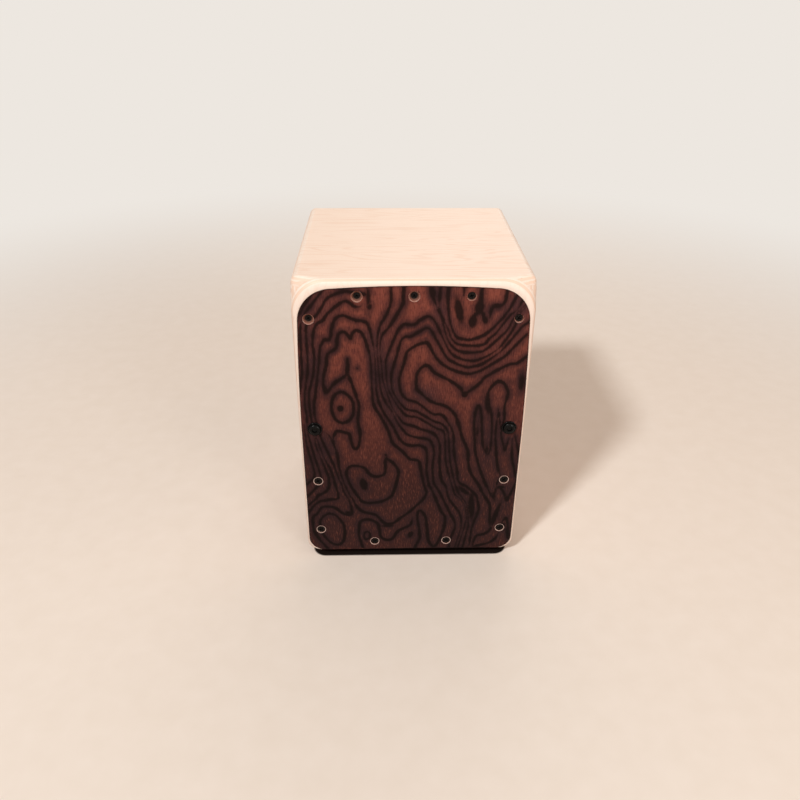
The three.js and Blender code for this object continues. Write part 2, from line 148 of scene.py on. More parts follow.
def plywood(name, axis, face, inward, ply, grain, figured=1.0):
    """Birch plywood, sanded and clear-lacquered to a satin.

    It gives the eye a creamy face with wavy growth lines and short brown flecks, and where an edge is
    rounded the plies below come out as soft bands, pale and slightly darker in turn.
    axis and inward point into the sheet, face is where its outer side lies, in millimetres, and figured
    is how strongly the growth lines show.
    """
    made, tree, place = new_material(name)
    parts = add(tree, "ShaderNodeSeparateXYZ", {0: place})
    depth = add(tree, MATH, {0: parts.outputs[axis], 1: face * MM}, operation="SUBTRACT")
    plies = add(tree, MATH, {0: depth, 1: inward / (ply * MM)}, operation="MULTIPLY")
    # a band goes from 0 in the outer ply to 1 in the next, softly, as sanding leaves it, and from the
    # second ply down a thin line of glue shows between them
    half_turns = add(tree, MATH, {0: plies, 1: math.pi}, operation="MULTIPLY")
    wave = add(tree, MATH, {0: half_turns}, operation="SINE")
    band = add(tree, RANGE, {0: wave, 1: 0.15, 2: -0.15}, interpolation_type="SMOOTHSTEP")
    deep = add(tree, MATH, {0: plies, 1: 0.5}, operation="GREATER_THAN")
    glue = add(tree, MATH, {0: wave}, operation="ABSOLUTE")
    glue = add(tree, RANGE, {0: glue, 1: 0.0, 2: 0.3, 3: 0.22, 4: 0.0})
    glue = add(tree, MATH, {0: glue, 1: deep}, operation="MULTIPLY")

    # growth lines about 5 mm apart that wander over 200 mm, fibres 0.6 mm wide and 16 mm long,
    # flecks 0.8 mm wide and 6 mm long
    figure_place, fibre_place, fleck_place = [
        add(tree, MAPPING, {"Vector": place, "Scale": grain_scale(across, along, grain)})
        for across, along in ((34.0, 210.0), (0.6, 16.0), (0.8, 6.0))]
    figure = add(tree, NOISE, {
        "Vector": figure_place, "Scale": 1.0, "Detail": 3.0, "Roughness": 0.45, "Distortion": 0.5})
    rings = add(tree, MATH, {0: figure, 1: 105.0}, operation="MULTIPLY")
    rings = add(tree, MATH, {0: rings}, operation="SINE")
    rings = add(tree, RANGE, {0: rings, 1: 0.35, 2: 1.0, 4: 0.5 * figured})
    cloud = add(tree, NOISE, {"Vector": place, "Scale": 1 / (40.0 * MM), "Detail": 1.0})
    clouds = add(tree, RANGE, {0: cloud, 1: 0.35, 2: 0.65, 3: 0.25})
    rings = add(tree, MATH, {0: rings, 1: clouds}, operation="MULTIPLY")
    fibre = add(tree, NOISE, {"Vector": fibre_place, "Scale": 1.0, "Detail": 3.0, "Roughness": 0.6})
    fibres = add(tree, RANGE, {0: fibre, 1: 0.35, 2: 0.75, 4: 0.26 * figured})
    lines = add(tree, MATH, {0: rings, 1: fibres}, operation="ADD")
    fleck = add(tree, NOISE, {"Vector": fleck_place, "Scale": 1.0, "Detail": 1.0})
    flecks = add(tree, RANGE, {0: fleck, 1: 0.7, 2: 0.8, 4: 0.5 * figured})
    wood = colour(BIRCH_LIGHT)
    for share, tint in ((lines, BIRCH_LINE), (flecks, BIRCH_FLECK), (band, BIRCH_INNER), (glue, BIRCH_GLUE)):
        wood = add(tree, MIX, {0: share, 6: wood, 7: colour(tint)}, data_type="RGBA")
    rough = add(tree, RANGE, {0: fibre, 1: 0.3, 2: 0.7, 3: 0.42, 4: 0.55})
    relief = add(tree, BUMP, {"Height": fibre, "Strength": 0.25, "Distance": 0.03 * MM})
    return end_material(made, tree, {"Base Color": wood, "Roughness": rough, "Normal": relief, "IOR": 1.5})


WALL_PLY, BACK_PLY, CORE_PLY = 1.2, 1.0, 1.13
top_ply = plywood("birch plywood, top", 2, TOP_Z, -1, WALL_PLY, 0)
bottom_ply = plywood("birch plywood, bottom", 2, FLOOR_Z, 1, WALL_PLY, 0)
left_ply = plywood("birch plywood, left side", 0, -SIDE_X, 1, WALL_PLY, 2)
right_ply = plywood("birch plywood, right side", 0, SIDE_X, -1, WALL_PLY, 2)
back_ply = plywood("birch plywood, back", 1, BACK_Y, -1, BACK_PLY, 0)
core_ply = plywood("birch plywood, plate core", 1, CORE_Y, 1, CORE_PLY, 2, 0.3)


def cut_wood():
    """Plywood laid bare by a countersink, not lacquered.

    It gives the eye a warm mid-brown cone with torn fibres, darkened by painted shade where it goes
    deep, inside a thin pale ring where the cut goes through the veneer.
    """
    made, tree, place = new_material("raw cut plywood")
    parts = add(tree, "ShaderNodeSeparateXYZ", {0: place})
    wood = colour("#CDB9B0")
    # the pale rim turns mid-brown, then painted shade darkens the cone down the recess
    for start, end, tint in ((0.09, 0.14, "#99604F"), (0.14, 1.9, "#3A231B")):
        share = add(tree, RANGE, {0: parts.outputs[1], 1: (FACE_Y + start) * MM, 2: (FACE_Y + end) * MM})
        wood = add(tree, MIX, {0: share, 6: wood, 7: colour(tint)}, data_type="RGBA")
    # torn fibres 0.4 mm wide and 2 mm long
    torn_place = add(tree, MAPPING, {"Vector": place, "Scale": grain_scale(0.4, 2.0, 2)})
    torn = add(tree, NOISE, {"Vector": torn_place, "Scale": 1.0, "Detail": 2.0})
    tears = add(tree, RANGE, {0: torn, 1: 0.4, 2: 0.7, 4: 0.5})
    wood = add(tree, MIX, {0: tears, 6: wood, 7: colour("#7A5040")}, data_type="RGBA")
    relief = add(tree, BUMP, {"Height": torn, "Strength": 0.5, "Distance": 0.1 * MM})
    return end_material(made, tree, {"Base Color": wood, "Roughness": 0.75, "Normal": relief})


cut_ply = cut_wood()


def dark_metal(name, base, bloom, roughness, metallic, grit):
    """Steel under a dark coat: phosphate on the screws, enamel on the bolts.

    It gives the eye a near-black, slightly oily surface with a soft sheen that breaks up finely, at a
    grit in millimetres.
    """
    made, tree, place = new_material(name)
    grain = add(tree, NOISE, {"Vector": place, "Scale": 1 / (grit * MM), "Detail": 3.0})
    tone = add(tree, MIX, {0: grain, 6: colour(base), 7: colour(bloom)}, data_type="RGBA")
    rough = add(tree, RANGE, {0: grain, 1: 0.3, 2: 0.7, 3: roughness - 0.07, 4: roughness + 0.1})
    relief = add(tree, BUMP, {"Height": grain, "Strength": 0.3, "Distance": 0.02 * MM})
    return end_material(made, tree, {"Base Color": tone, "Roughness": rough, "Normal": relief,
                                     "Metallic": metallic, "Specular IOR Level": 0.15})


screw_steel = dark_metal("black phosphated steel, screws", "#121010", "#2E2A28", 0.42, 0.85, 0.35)
bolt_steel = dark_metal("black enamelled steel, bolts", "#060606", "#0F0E0D", 0.25, 0.2, 0.5)


def bright_metal(name, base, shade, roughness, along):
    """Drawn or turned bright metal.

    It gives the eye fine marks 0.25 mm wide that run one way for 6 mm and stretch its highlights.
    """
    made, tree, place = new_material(name)
    marks_place = add(tree, MAPPING, {"Vector": place, "Scale": grain_scale(0.25, 6.0, along)})
    marks = add(tree, NOISE, {"Vector": marks_place, "Scale": 1.0, "Detail": 2.0})
    tone = add(tree, MIX, {0: marks, 6: colour(base), 7: colour(shade)}, data_type="RGBA")
    rough = add(tree, RANGE, {0: marks, 1: 0.3, 2: 0.7, 3: roughness - 0.06, 4: roughness + 0.1})
    relief = add(tree, BUMP, {"Height": marks, "Strength": 0.2, "Distance": 0.01 * MM})
    return end_material(made, tree, {
        "Base Color": tone, "Roughness": rough, "Normal": relief, "Metallic": 1.0})


wire_steel = bright_metal("nickelled spring steel", "#C9CACB", "#9C9EA1", 0.26, 2)
brass = bright_metal("turned brass", "#D2AE5C", "#A88438", 0.3, 1)


def pine(name, grain):
    """Planed pine battens.

    They give the eye a warm straw colour with darker late-wood lines about 3 mm apart along the piece.
    """
    made, tree, place = new_material(name)
    ring_place = add(tree, MAPPING, {
        "Vector": place, "Scale": grain_scale(3.0, 160.0, grain), "Rotation": (0.1, 0.16, 0.12)})
    fibre_place = add(tree, MAPPING, {"Vector": place, "Scale": grain_scale(0.4, 10.0, grain)})
    rings = add(tree, "ShaderNodeTexWave", {
        "Vector": ring_place, "Scale": 0.5, "Distortion": 2.5, "Detail": 2.0, "Detail Scale": 0.6},
        bands_direction="DIAGONAL")
    fibre = add(tree, NOISE, {"Vector": fibre_place, "Scale": 1.0, "Detail": 2.0})
    late = add(tree, RANGE, {0: rings.outputs["Fac"], 1: 0.45, 2: 1.0, 4: 0.8})
    mottle = add(tree, RANGE, {0: fibre, 1: 0.3, 2: 0.7, 4: 0.35})
    wood = colour("#E8CDA0")
    for share, tint in ((late, "#C08E58"), (mottle, "#CFA874")):
        wood = add(tree, MIX, {0: share, 6: wood, 7: colour(tint)}, data_type="RGBA")
    relief = add(tree, BUMP, {"Height": fibre, "Strength": 0.4, "Distance": 0.05 * MM})
    return end_material(made, tree, {"Base Color": wood, "Roughness": 0.7, "Normal": relief})


pine_upright = pine("planed pine, upright", 2)
pine_level = pine("planed pine, level", 0)


def rubber_material():
    """Moulded black rubber.

    It gives the eye a matt surface with a fine even grain of 0.5 mm and a greyish bloom of 7 mm.
    """
    made, tree, place = new_material("moulded rubber")
    grain = add(tree, NOISE, {"Vector": place, "Scale": 1 / (0.5 * MM), "Detail": 3.0})
    bloom = add(tree, NOISE, {"Vector": place, "Scale": 1 / (7.0 * MM), "Detail": 1.0})
    tone = add(tree, MIX, {0: bloom, 6: colour("#131212"), 7: colour("#2A2827")}, data_type="RGBA")
    rough = add(tree, RANGE, {0: grain, 1: 0.3, 2: 0.7, 3: 0.75, 4: 0.95})
    relief = add(tree, BUMP, {"Height": grain, "Strength": 0.5, "Distance": 0.04 * MM})
    return end_material(made, tree, {"Base Color": tone, "Roughness": rough, "Normal": relief})


rubber = rubber_material()

BURL_OPEN, BURL_CROWDED, BURL_CLOUD, BURL_MOTTLE = "#854A3E", "#4A3235", "#6A3A35", "#542C2D"
BURL_FOOT_TONE_AND_SHADE, BURL_PORE, BURL_PORE_GLINT, BURL_SHADE = "#2E1E1E", "#38211E", "#8C5345", "#2A1C1F"
BURL_VEIN, BURL_VEIN_FOOT_TONE_AND_SHADE = "#1A0D0B", "#0F0706"


def burl_material():
    """Burl veneer, sliced, sanded and satin-lacquered.

    It gives the eye dark brown veins that wander over a red-brown ground like the lines of a map,
    fine upright pores, and a low, even sheen. The sheet's vein attribute is the distance in millimetres
    from the edge of the nearest vein, less than zero inside it, and crowd goes from 0 to 1 where veins
    lie close together.
    """
    made, tree, place = new_material("burl veneer")
    edge, crowd = [add(tree, "ShaderNodeAttribute", attribute_name=name).outputs["Fac"]
                   for name in ("vein", "crowd")]

    # veins swell and thin again within 8 mm, and fine fibres 0.6 mm wide and 3 mm long fray their edges
    swell = add(tree, NOISE, {"Vector": place, "Scale": 1 / (8.0 * MM), "Detail": 2.0})
    fray_place = add(tree, MAPPING, {"Vector": place, "Scale": grain_scale(0.6, 3.0, 2)})
    fray = add(tree, NOISE, {"Vector": fray_place, "Scale": 1.0, "Detail": 2.0})
    swelling = add(tree, RANGE, {0: swell, 1: 0.3, 2: 0.7, 3: -0.35, 4: 0.35})
    fraying = add(tree, RANGE, {0: fray, 1: 0.25, 2: 0.75, 3: -0.3, 4: 0.3})
    away = add(tree, MATH, {0: edge, 1: swelling}, operation="ADD")
    away = add(tree, MATH, {0: away, 1: fraying}, operation="ADD")
    vein = add(tree, RANGE, {0: away, 1: -0.8, 2: 0.65, 3: 0.95, 4: 0.0}, interpolation_type="SMOOTHSTEP")

    # beside a vein the ground is shaded for about 4 mm, more in some places than in others
    depth = add(tree, NOISE, {"Vector": place, "Scale": 1 / (17.0 * MM), "Detail": 1.0})
    depths = add(tree, RANGE, {0: depth, 1: 0.3, 2: 0.7, 3: 0.35, 4: 0.9})
    beside = add(tree, RANGE, {0: away, 1: 0.0, 2: 4.2, 3: 1.0, 4: 0.0}, interpolation_type="SMOOTHSTEP")
    shade = add(tree, MATH, {0: beside, 1: depths}, operation="MULTIPLY")

    # the ground is redder where it lies open and greyer where the veins crowd, with slow clouds of 26 mm,
    # it is mottled within 3 mm, and the whole sheet is slowly darker towards the foot, partly its own tone
    # and partly painted shade
    cloud = add(tree, NOISE, {"Vector": place, "Scale": 1 / (26.0 * MM), "Detail": 2.0})
    clouds = add(tree, RANGE, {0: cloud, 1: 0.35, 2: 0.7, 4: 0.45})
    mottle = add(tree, NOISE, {"Vector": place, "Scale": 1 / (3.0 * MM), "Detail": 3.0, "Roughness": 0.6})
    mottles = add(tree, RANGE, {0: mottle, 1: 0.42, 2: 0.68, 4: 0.55})
    parts = add(tree, "ShaderNodeSeparateXYZ", {0: place})
    # painted shade: the sheet darkens towards its foot, partly its own tone and partly for light that falls
    # off down the plate
    foot = add(tree, RANGE, {0: parts.outputs[2], 1: 210.0 * MM, 2: 62.0 * MM, 4: 0.92})

    # pores 0.6 mm wide and 4 mm long, upright, some filled dark and some painted lighter as a painted
    # highlight
    # where they catch the light: the real ones are half as wide, too fine to show
    pore_place = add(tree, MAPPING, {"Vector": place, "Scale": grain_scale(0.6, 4.0, 2)})
    pore = add(tree, NOISE, {"Vector": pore_place, "Scale": 1.0, "Detail": 3.0})
    dark_pores = add(tree, RANGE, {0: pore, 1: 0.5, 2: 0.72, 4: 0.65})
    glinting_pores = add(tree, RANGE, {0: pore, 1: 0.47, 2: 0.27, 4: 0.42})

    wood = colour(BURL_OPEN)
    for share, tint in ((crowd, BURL_CROWDED), (clouds, BURL_CLOUD), (mottles, BURL_MOTTLE),
                        (foot, BURL_FOOT_TONE_AND_SHADE), (dark_pores, BURL_PORE), (glinting_pores, BURL_PORE_GLINT),
                        (shade, BURL_SHADE)):
        wood = add(tree, MIX, {0: share, 6: wood, 7: colour(tint)}, data_type="RGBA")
    # the veins darken towards the foot as well, partly their own tone and partly painted shade
    vein_tone = add(tree, MIX, {0: foot, 6: colour(BURL_VEIN), 7: colour(BURL_VEIN_FOOT_TONE_AND_SHADE)}, data_type="RGBA")
    wood = add(tree, MIX, {0: vein, 6: wood, 7: vein_tone}, data_type="RGBA")
    rough = add(tree, RANGE, {0: pore, 1: 0.35, 2: 0.75, 3: 0.42, 4: 0.6})
    relief = add(tree, BUMP, {"Height": pore, "Strength": 0.3, "Distance": 0.03 * MM})
    return end_material(made, tree, {"Base Color": wood, "Roughness": rough, "Normal": relief,
                                     "IOR": 1.45, "Specular IOR Level": 0.1})


burl = burl_material()


# Outline of the drum ------------------------------------------------------------------------

# Straight pieces in each part of half the outline, and in the sanded edge round the plate
LOW_STEPS, SIDE_STEPS, TAPER_STEPS, CORNER_STEPS, CROWN_STEPS = 14, 12, 14, 22, 12
ROUNDING_STEPS = 14
QUARTER = math.pi / 2


def soft_step(t):
    """Goes from 0 to 1 as t does, flat at both ends."""
    return t * t * (3 - 2 * t)


def arc(x, z, radius, start, end, steps):
    turns = np.linspace(start, end, steps + 1)
    return np.stack([x + radius * np.cos(turns), z + radius * np.sin(turns)], 1)


def circle(x, z, radius, sides):
    return arc(x, z, radius, 0, 2 * math.pi, sides)[:-1]


def bend(start, control, end, steps):
    t = np.linspace(0, 1, steps + 1)[:, None]
    start, control, end = map(np.array, (start, control, end))
    return (1 - t) ** 2 * start + 2 * t * (1 - t) * control + t ** 2 * end


def outline(inset, top_radius, bottom_radius):
    """The drum seen from the front as x and z, counterclockwise from the bottom right corner."""
    low_x, high_x = SIDE_X - inset["side"], SIDE_X - inset["shoulder"]
    low_z = FLOOR_Z + inset["bottom"]
    shoulder_z = TOP_Z - inset["top_shoulder"] - top_radius
    crown_z = TOP_Z - inset["crown"]
    taper_z = FLOOR_Z + BOX_HEIGHT * TAPER_START
    corner_x = high_x - top_radius
    low = arc(low_x - bottom_radius, low_z + bottom_radius, bottom_radius, -QUARTER, 0, LOW_STEPS)
    straight = np.linspace((low_x, low_z + bottom_radius), (low_x, taper_z), SIDE_STEPS)[1:-1]
    taper = bend((low_x, taper_z), (low_x, (taper_z + shoulder_z) / 2), (high_x, shoulder_z), TAPER_STEPS)
    corner = arc(corner_x, shoulder_z, top_radius, 0, QUARTER, CORNER_STEPS)
    crown_start = (corner_x, TOP_Z - inset["top_shoulder"])
    crown = bend(crown_start, (corner_x / 2, crown_z), (0, crown_z), CROWN_STEPS)
    right = np.concatenate([low, straight, taper[:-1], corner[:-1], crown])
    left = right[:-1][::-1] * (-1, 1)
    return np.concatenate([right, left])


def ring_at(y, flat):
    return np.stack([flat[:, 0], np.full(len(flat), y), flat[:, 1]], 1)


def station(behind, scale):
    """The outline at a distance behind the face, with the face's insets taken in by a scale."""
    inset = {edge: size * scale for edge, size in FACE_INSET.items()}
    blend = soft_step(min(max((behind - BLEND_START) / (BLEND_END - BLEND_START), 0), 1))
    top = FACE_TOP_RADIUS + (BOX_TOP_RADIUS - FACE_TOP_RADIUS) * blend
    bottom = BOX_BOTTOM_RADIUS + (FACE_BOTTOM_RADIUS - BOX_BOTTOM_RADIUS) * scale
    return ring_at(FACE_Y + behind, outline(inset, top, bottom))


def rounding_stations(start):
    """The stations of the sanded edge round the plate's core, from a depth to the full outline."""
    made = []
    for angle in np.linspace(0, QUARTER, ROUNDING_STEPS):
        behind = VENEER + (ROUNDING_DEPTH - VENEER) * (1 - math.cos(angle))
        if behind >= start:
            made.append(station(behind, 1 - math.sin(angle)))
    return made


def back_stations(count):
    """The stations of the rounded edge round the back."""
    made = []
    for angle in np.linspace(0, QUARTER, count):
        inset = BACK_ROUNDING * (1 - math.cos(angle))
        y = BACK_Y - BACK_ROUNDING + math.sqrt(BACK_ROUNDING ** 2 - (BACK_ROUNDING - inset) ** 2)
        even = dict.fromkeys(FACE_INSET, inset)
        made.append(ring_at(y, outline(even, BOX_TOP_RADIUS - inset, BOX_BOTTOM_RADIUS - inset)))
    return made


# Meshes -------------------------------------------------------------------------------------

# Millimetres within which points are one, lie on a cut, or are no distance at all, and the sharpest edge in
# degrees that still shades smoothly
SAME_POINT, ON_CUT, TINY = 1e-4, 1e-5, 1e-6
SMOOTH_ANGLE = 32
# A face belongs to a hole if its middle lies within this share of the hole's radius
WITHIN_HOLE = 0.999


def merge(bm):
    bmesh.ops.remove_doubles(bm, verts=bm.verts, dist=SAME_POINT)


def put_in_scene(name, data):
    made = bpy.data.objects.new(name, data)
    bpy.context.scene.collection.objects.link(made)
    return made


def finish_mesh(name, bm, material, scale=MM):
    """A plain object at the origin from a mesh drawn in millimetres."""
    merge(bm)
    mesh = bpy.data.meshes.new(name)
    for vertex in bm.verts:
        vertex.co *= scale
    for face in bm.faces:
        face.smooth = True
    bm.to_mesh(mesh)
    bm.free()
    mesh.materials.append(material)
    mesh.set_sharp_from_angle(angle=math.radians(SMOOTH_ANGLE))
    made = put_in_scene(name, mesh)
    # a broad flat face beside a small rounding keeps its own normal, so it shades evenly
    made.modifiers.new("even shading", "WEIGHTED_NORMAL").keep_sharp = True
    return made


def seat(piece, slot, *nodes):
    """Rides on the drum and stands for these nodes; slot is not used."""
    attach(piece, "root")
    if nodes:
        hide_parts(*nodes)


def add_strip(bm, rings, material=0):
    """Faces between closed rings of points, each ring listed counterclockwise from the front."""
    rows = [[bm.verts.new(point) for point in ring] for ring in rings]
    for near, far in zip(rows, rows[1:]):
        for i in range(len(near)):
            j = (i + 1) % len(near)
            bm.faces.new((near[i], far[i], far[j], near[j])).material_index = material


def loop_edges(start, count):
    return [(start + i, start + (i + 1) % count) for i in range(count)]


def add_flat(bm, y, border, holes, towards, grid=None):
    """A flat face at one depth inside a border, open at each round hole, with inner points if given."""
    points = list(border)
    edges = loop_edges(0, len(border))
    for hole in holes:
        edges += loop_edges(len(points), len(hole))
        points += list(hole)
    if grid is not None:
        points += list(grid)
    flat, _, faces, *_ = delaunay_2d_cdt([Vector(p) for p in points], edges, [], 1, TINY)
    middles = np.array([np.mean([flat[i] for i in face], 0) for face in faces])
    inside = np.zeros(len(faces), bool)
    for hole in holes:
        centre = np.mean(hole, 0)
        reach = np.linalg.norm(hole[0] - centre)
        inside |= np.linalg.norm(middles - centre, axis=1) < reach * WITHIN_HOLE
    verts = [bm.verts.new((p[0], y, p[1])) for p in flat]
    for face, hollow in zip(faces, inside):
        if not hollow:
            order = face if towards < 0 else face[::-1]
            bm.faces.new([verts[i] for i in order])
    for vertex in verts:
        if not vertex.link_faces:
            bm.verts.remove(vertex)


def sheet_with_holes(rings, holes, grid=None, hole_material=0):
    """A sheet between its front ring and its back ring, with round holes.

    A hole is x, z, its wall as pairs of radius and depth, and its number of sides.
    """
    bm = bmesh.new()
    add_strip(bm, rings)
    fronts, backs = [], []
    for x, z, profile, sides in holes:
        walls = [ring_at(y, circle(x, z, radius, sides)) for radius, y in profile]
        add_strip(bm, [wall[::-1] for wall in walls], hole_material)
        fronts.append(walls[0][:, [0, 2]])
        backs.append(walls[-1][:, [0, 2]])
    add_flat(bm, rings[0][0][1], rings[0][:, [0, 2]], fronts, -1, grid)
    add_flat(bm, rings[-1][0][1], rings[-1][:, [0, 2]], backs, 1)
    merge(bm)
    return bm


def middle_of(node):
    low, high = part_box(node)
    return (low + high) / 2 / MM


def nodes_named(start):
    return [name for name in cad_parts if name.startswith(start)]


# Where the fasteners of the plate are, from the solids themselves
screw_nodes = sorted(nodes_named("plate_screw_"))
bolt_nodes = ["snare_bolt_left", "snare_bolt_right"]
SCREW_SIDES, BOLT_SIDES, SOUND_HOLE_SIDES = 40, 32, 120
# Each kind of countersink: its rim at the face, the pale ring that the rim loses in RING_DROP, how deep it
# goes and its radius there, the head's radius, and how deep the head's top lies. They are a little smaller
# than the solids', as enlarged looks at the photo showed later.
RING_DROP = 0.08
UPPER_SCREW = {"rim": 3.7, "ring": 0.03, "deep": 1.95, "seat": 2.2, "head": 2.1, "top": 1.8}
TIGHT_SCREW = {"rim": 3.05, "ring": 0.03, "deep": 1.2, "seat": 2.55, "head": 2.45, "top": 0.95}
LOWER_SCREW = {"rim": 3.5, "ring": 0.4, "deep": 0.6, "seat": 3.04, "head": 2.98, "top": 0.3}
SCREW_KINDS = {"top_middle": UPPER_SCREW, "top_left": UPPER_SCREW, "upper_corner_left": UPPER_SCREW,
               "top_right": TIGHT_SCREW, "upper_corner_right": TIGHT_SCREW}
screws = []
for node in screw_nodes:
    spot = middle_of(node)
    kind = SCREW_KINDS.get(node.removeprefix("plate_screw_"), LOWER_SCREW)
    mouth = kind["rim"] - kind["ring"]
    slope = (mouth - kind["seat"]) / kind["deep"]
    screws.append({"x": spot.x, "z": spot.z, "kind": kind, "mouth": mouth, "slope": slope, "node": node})
bolts = [middle_of(node) for node in bolt_nodes]
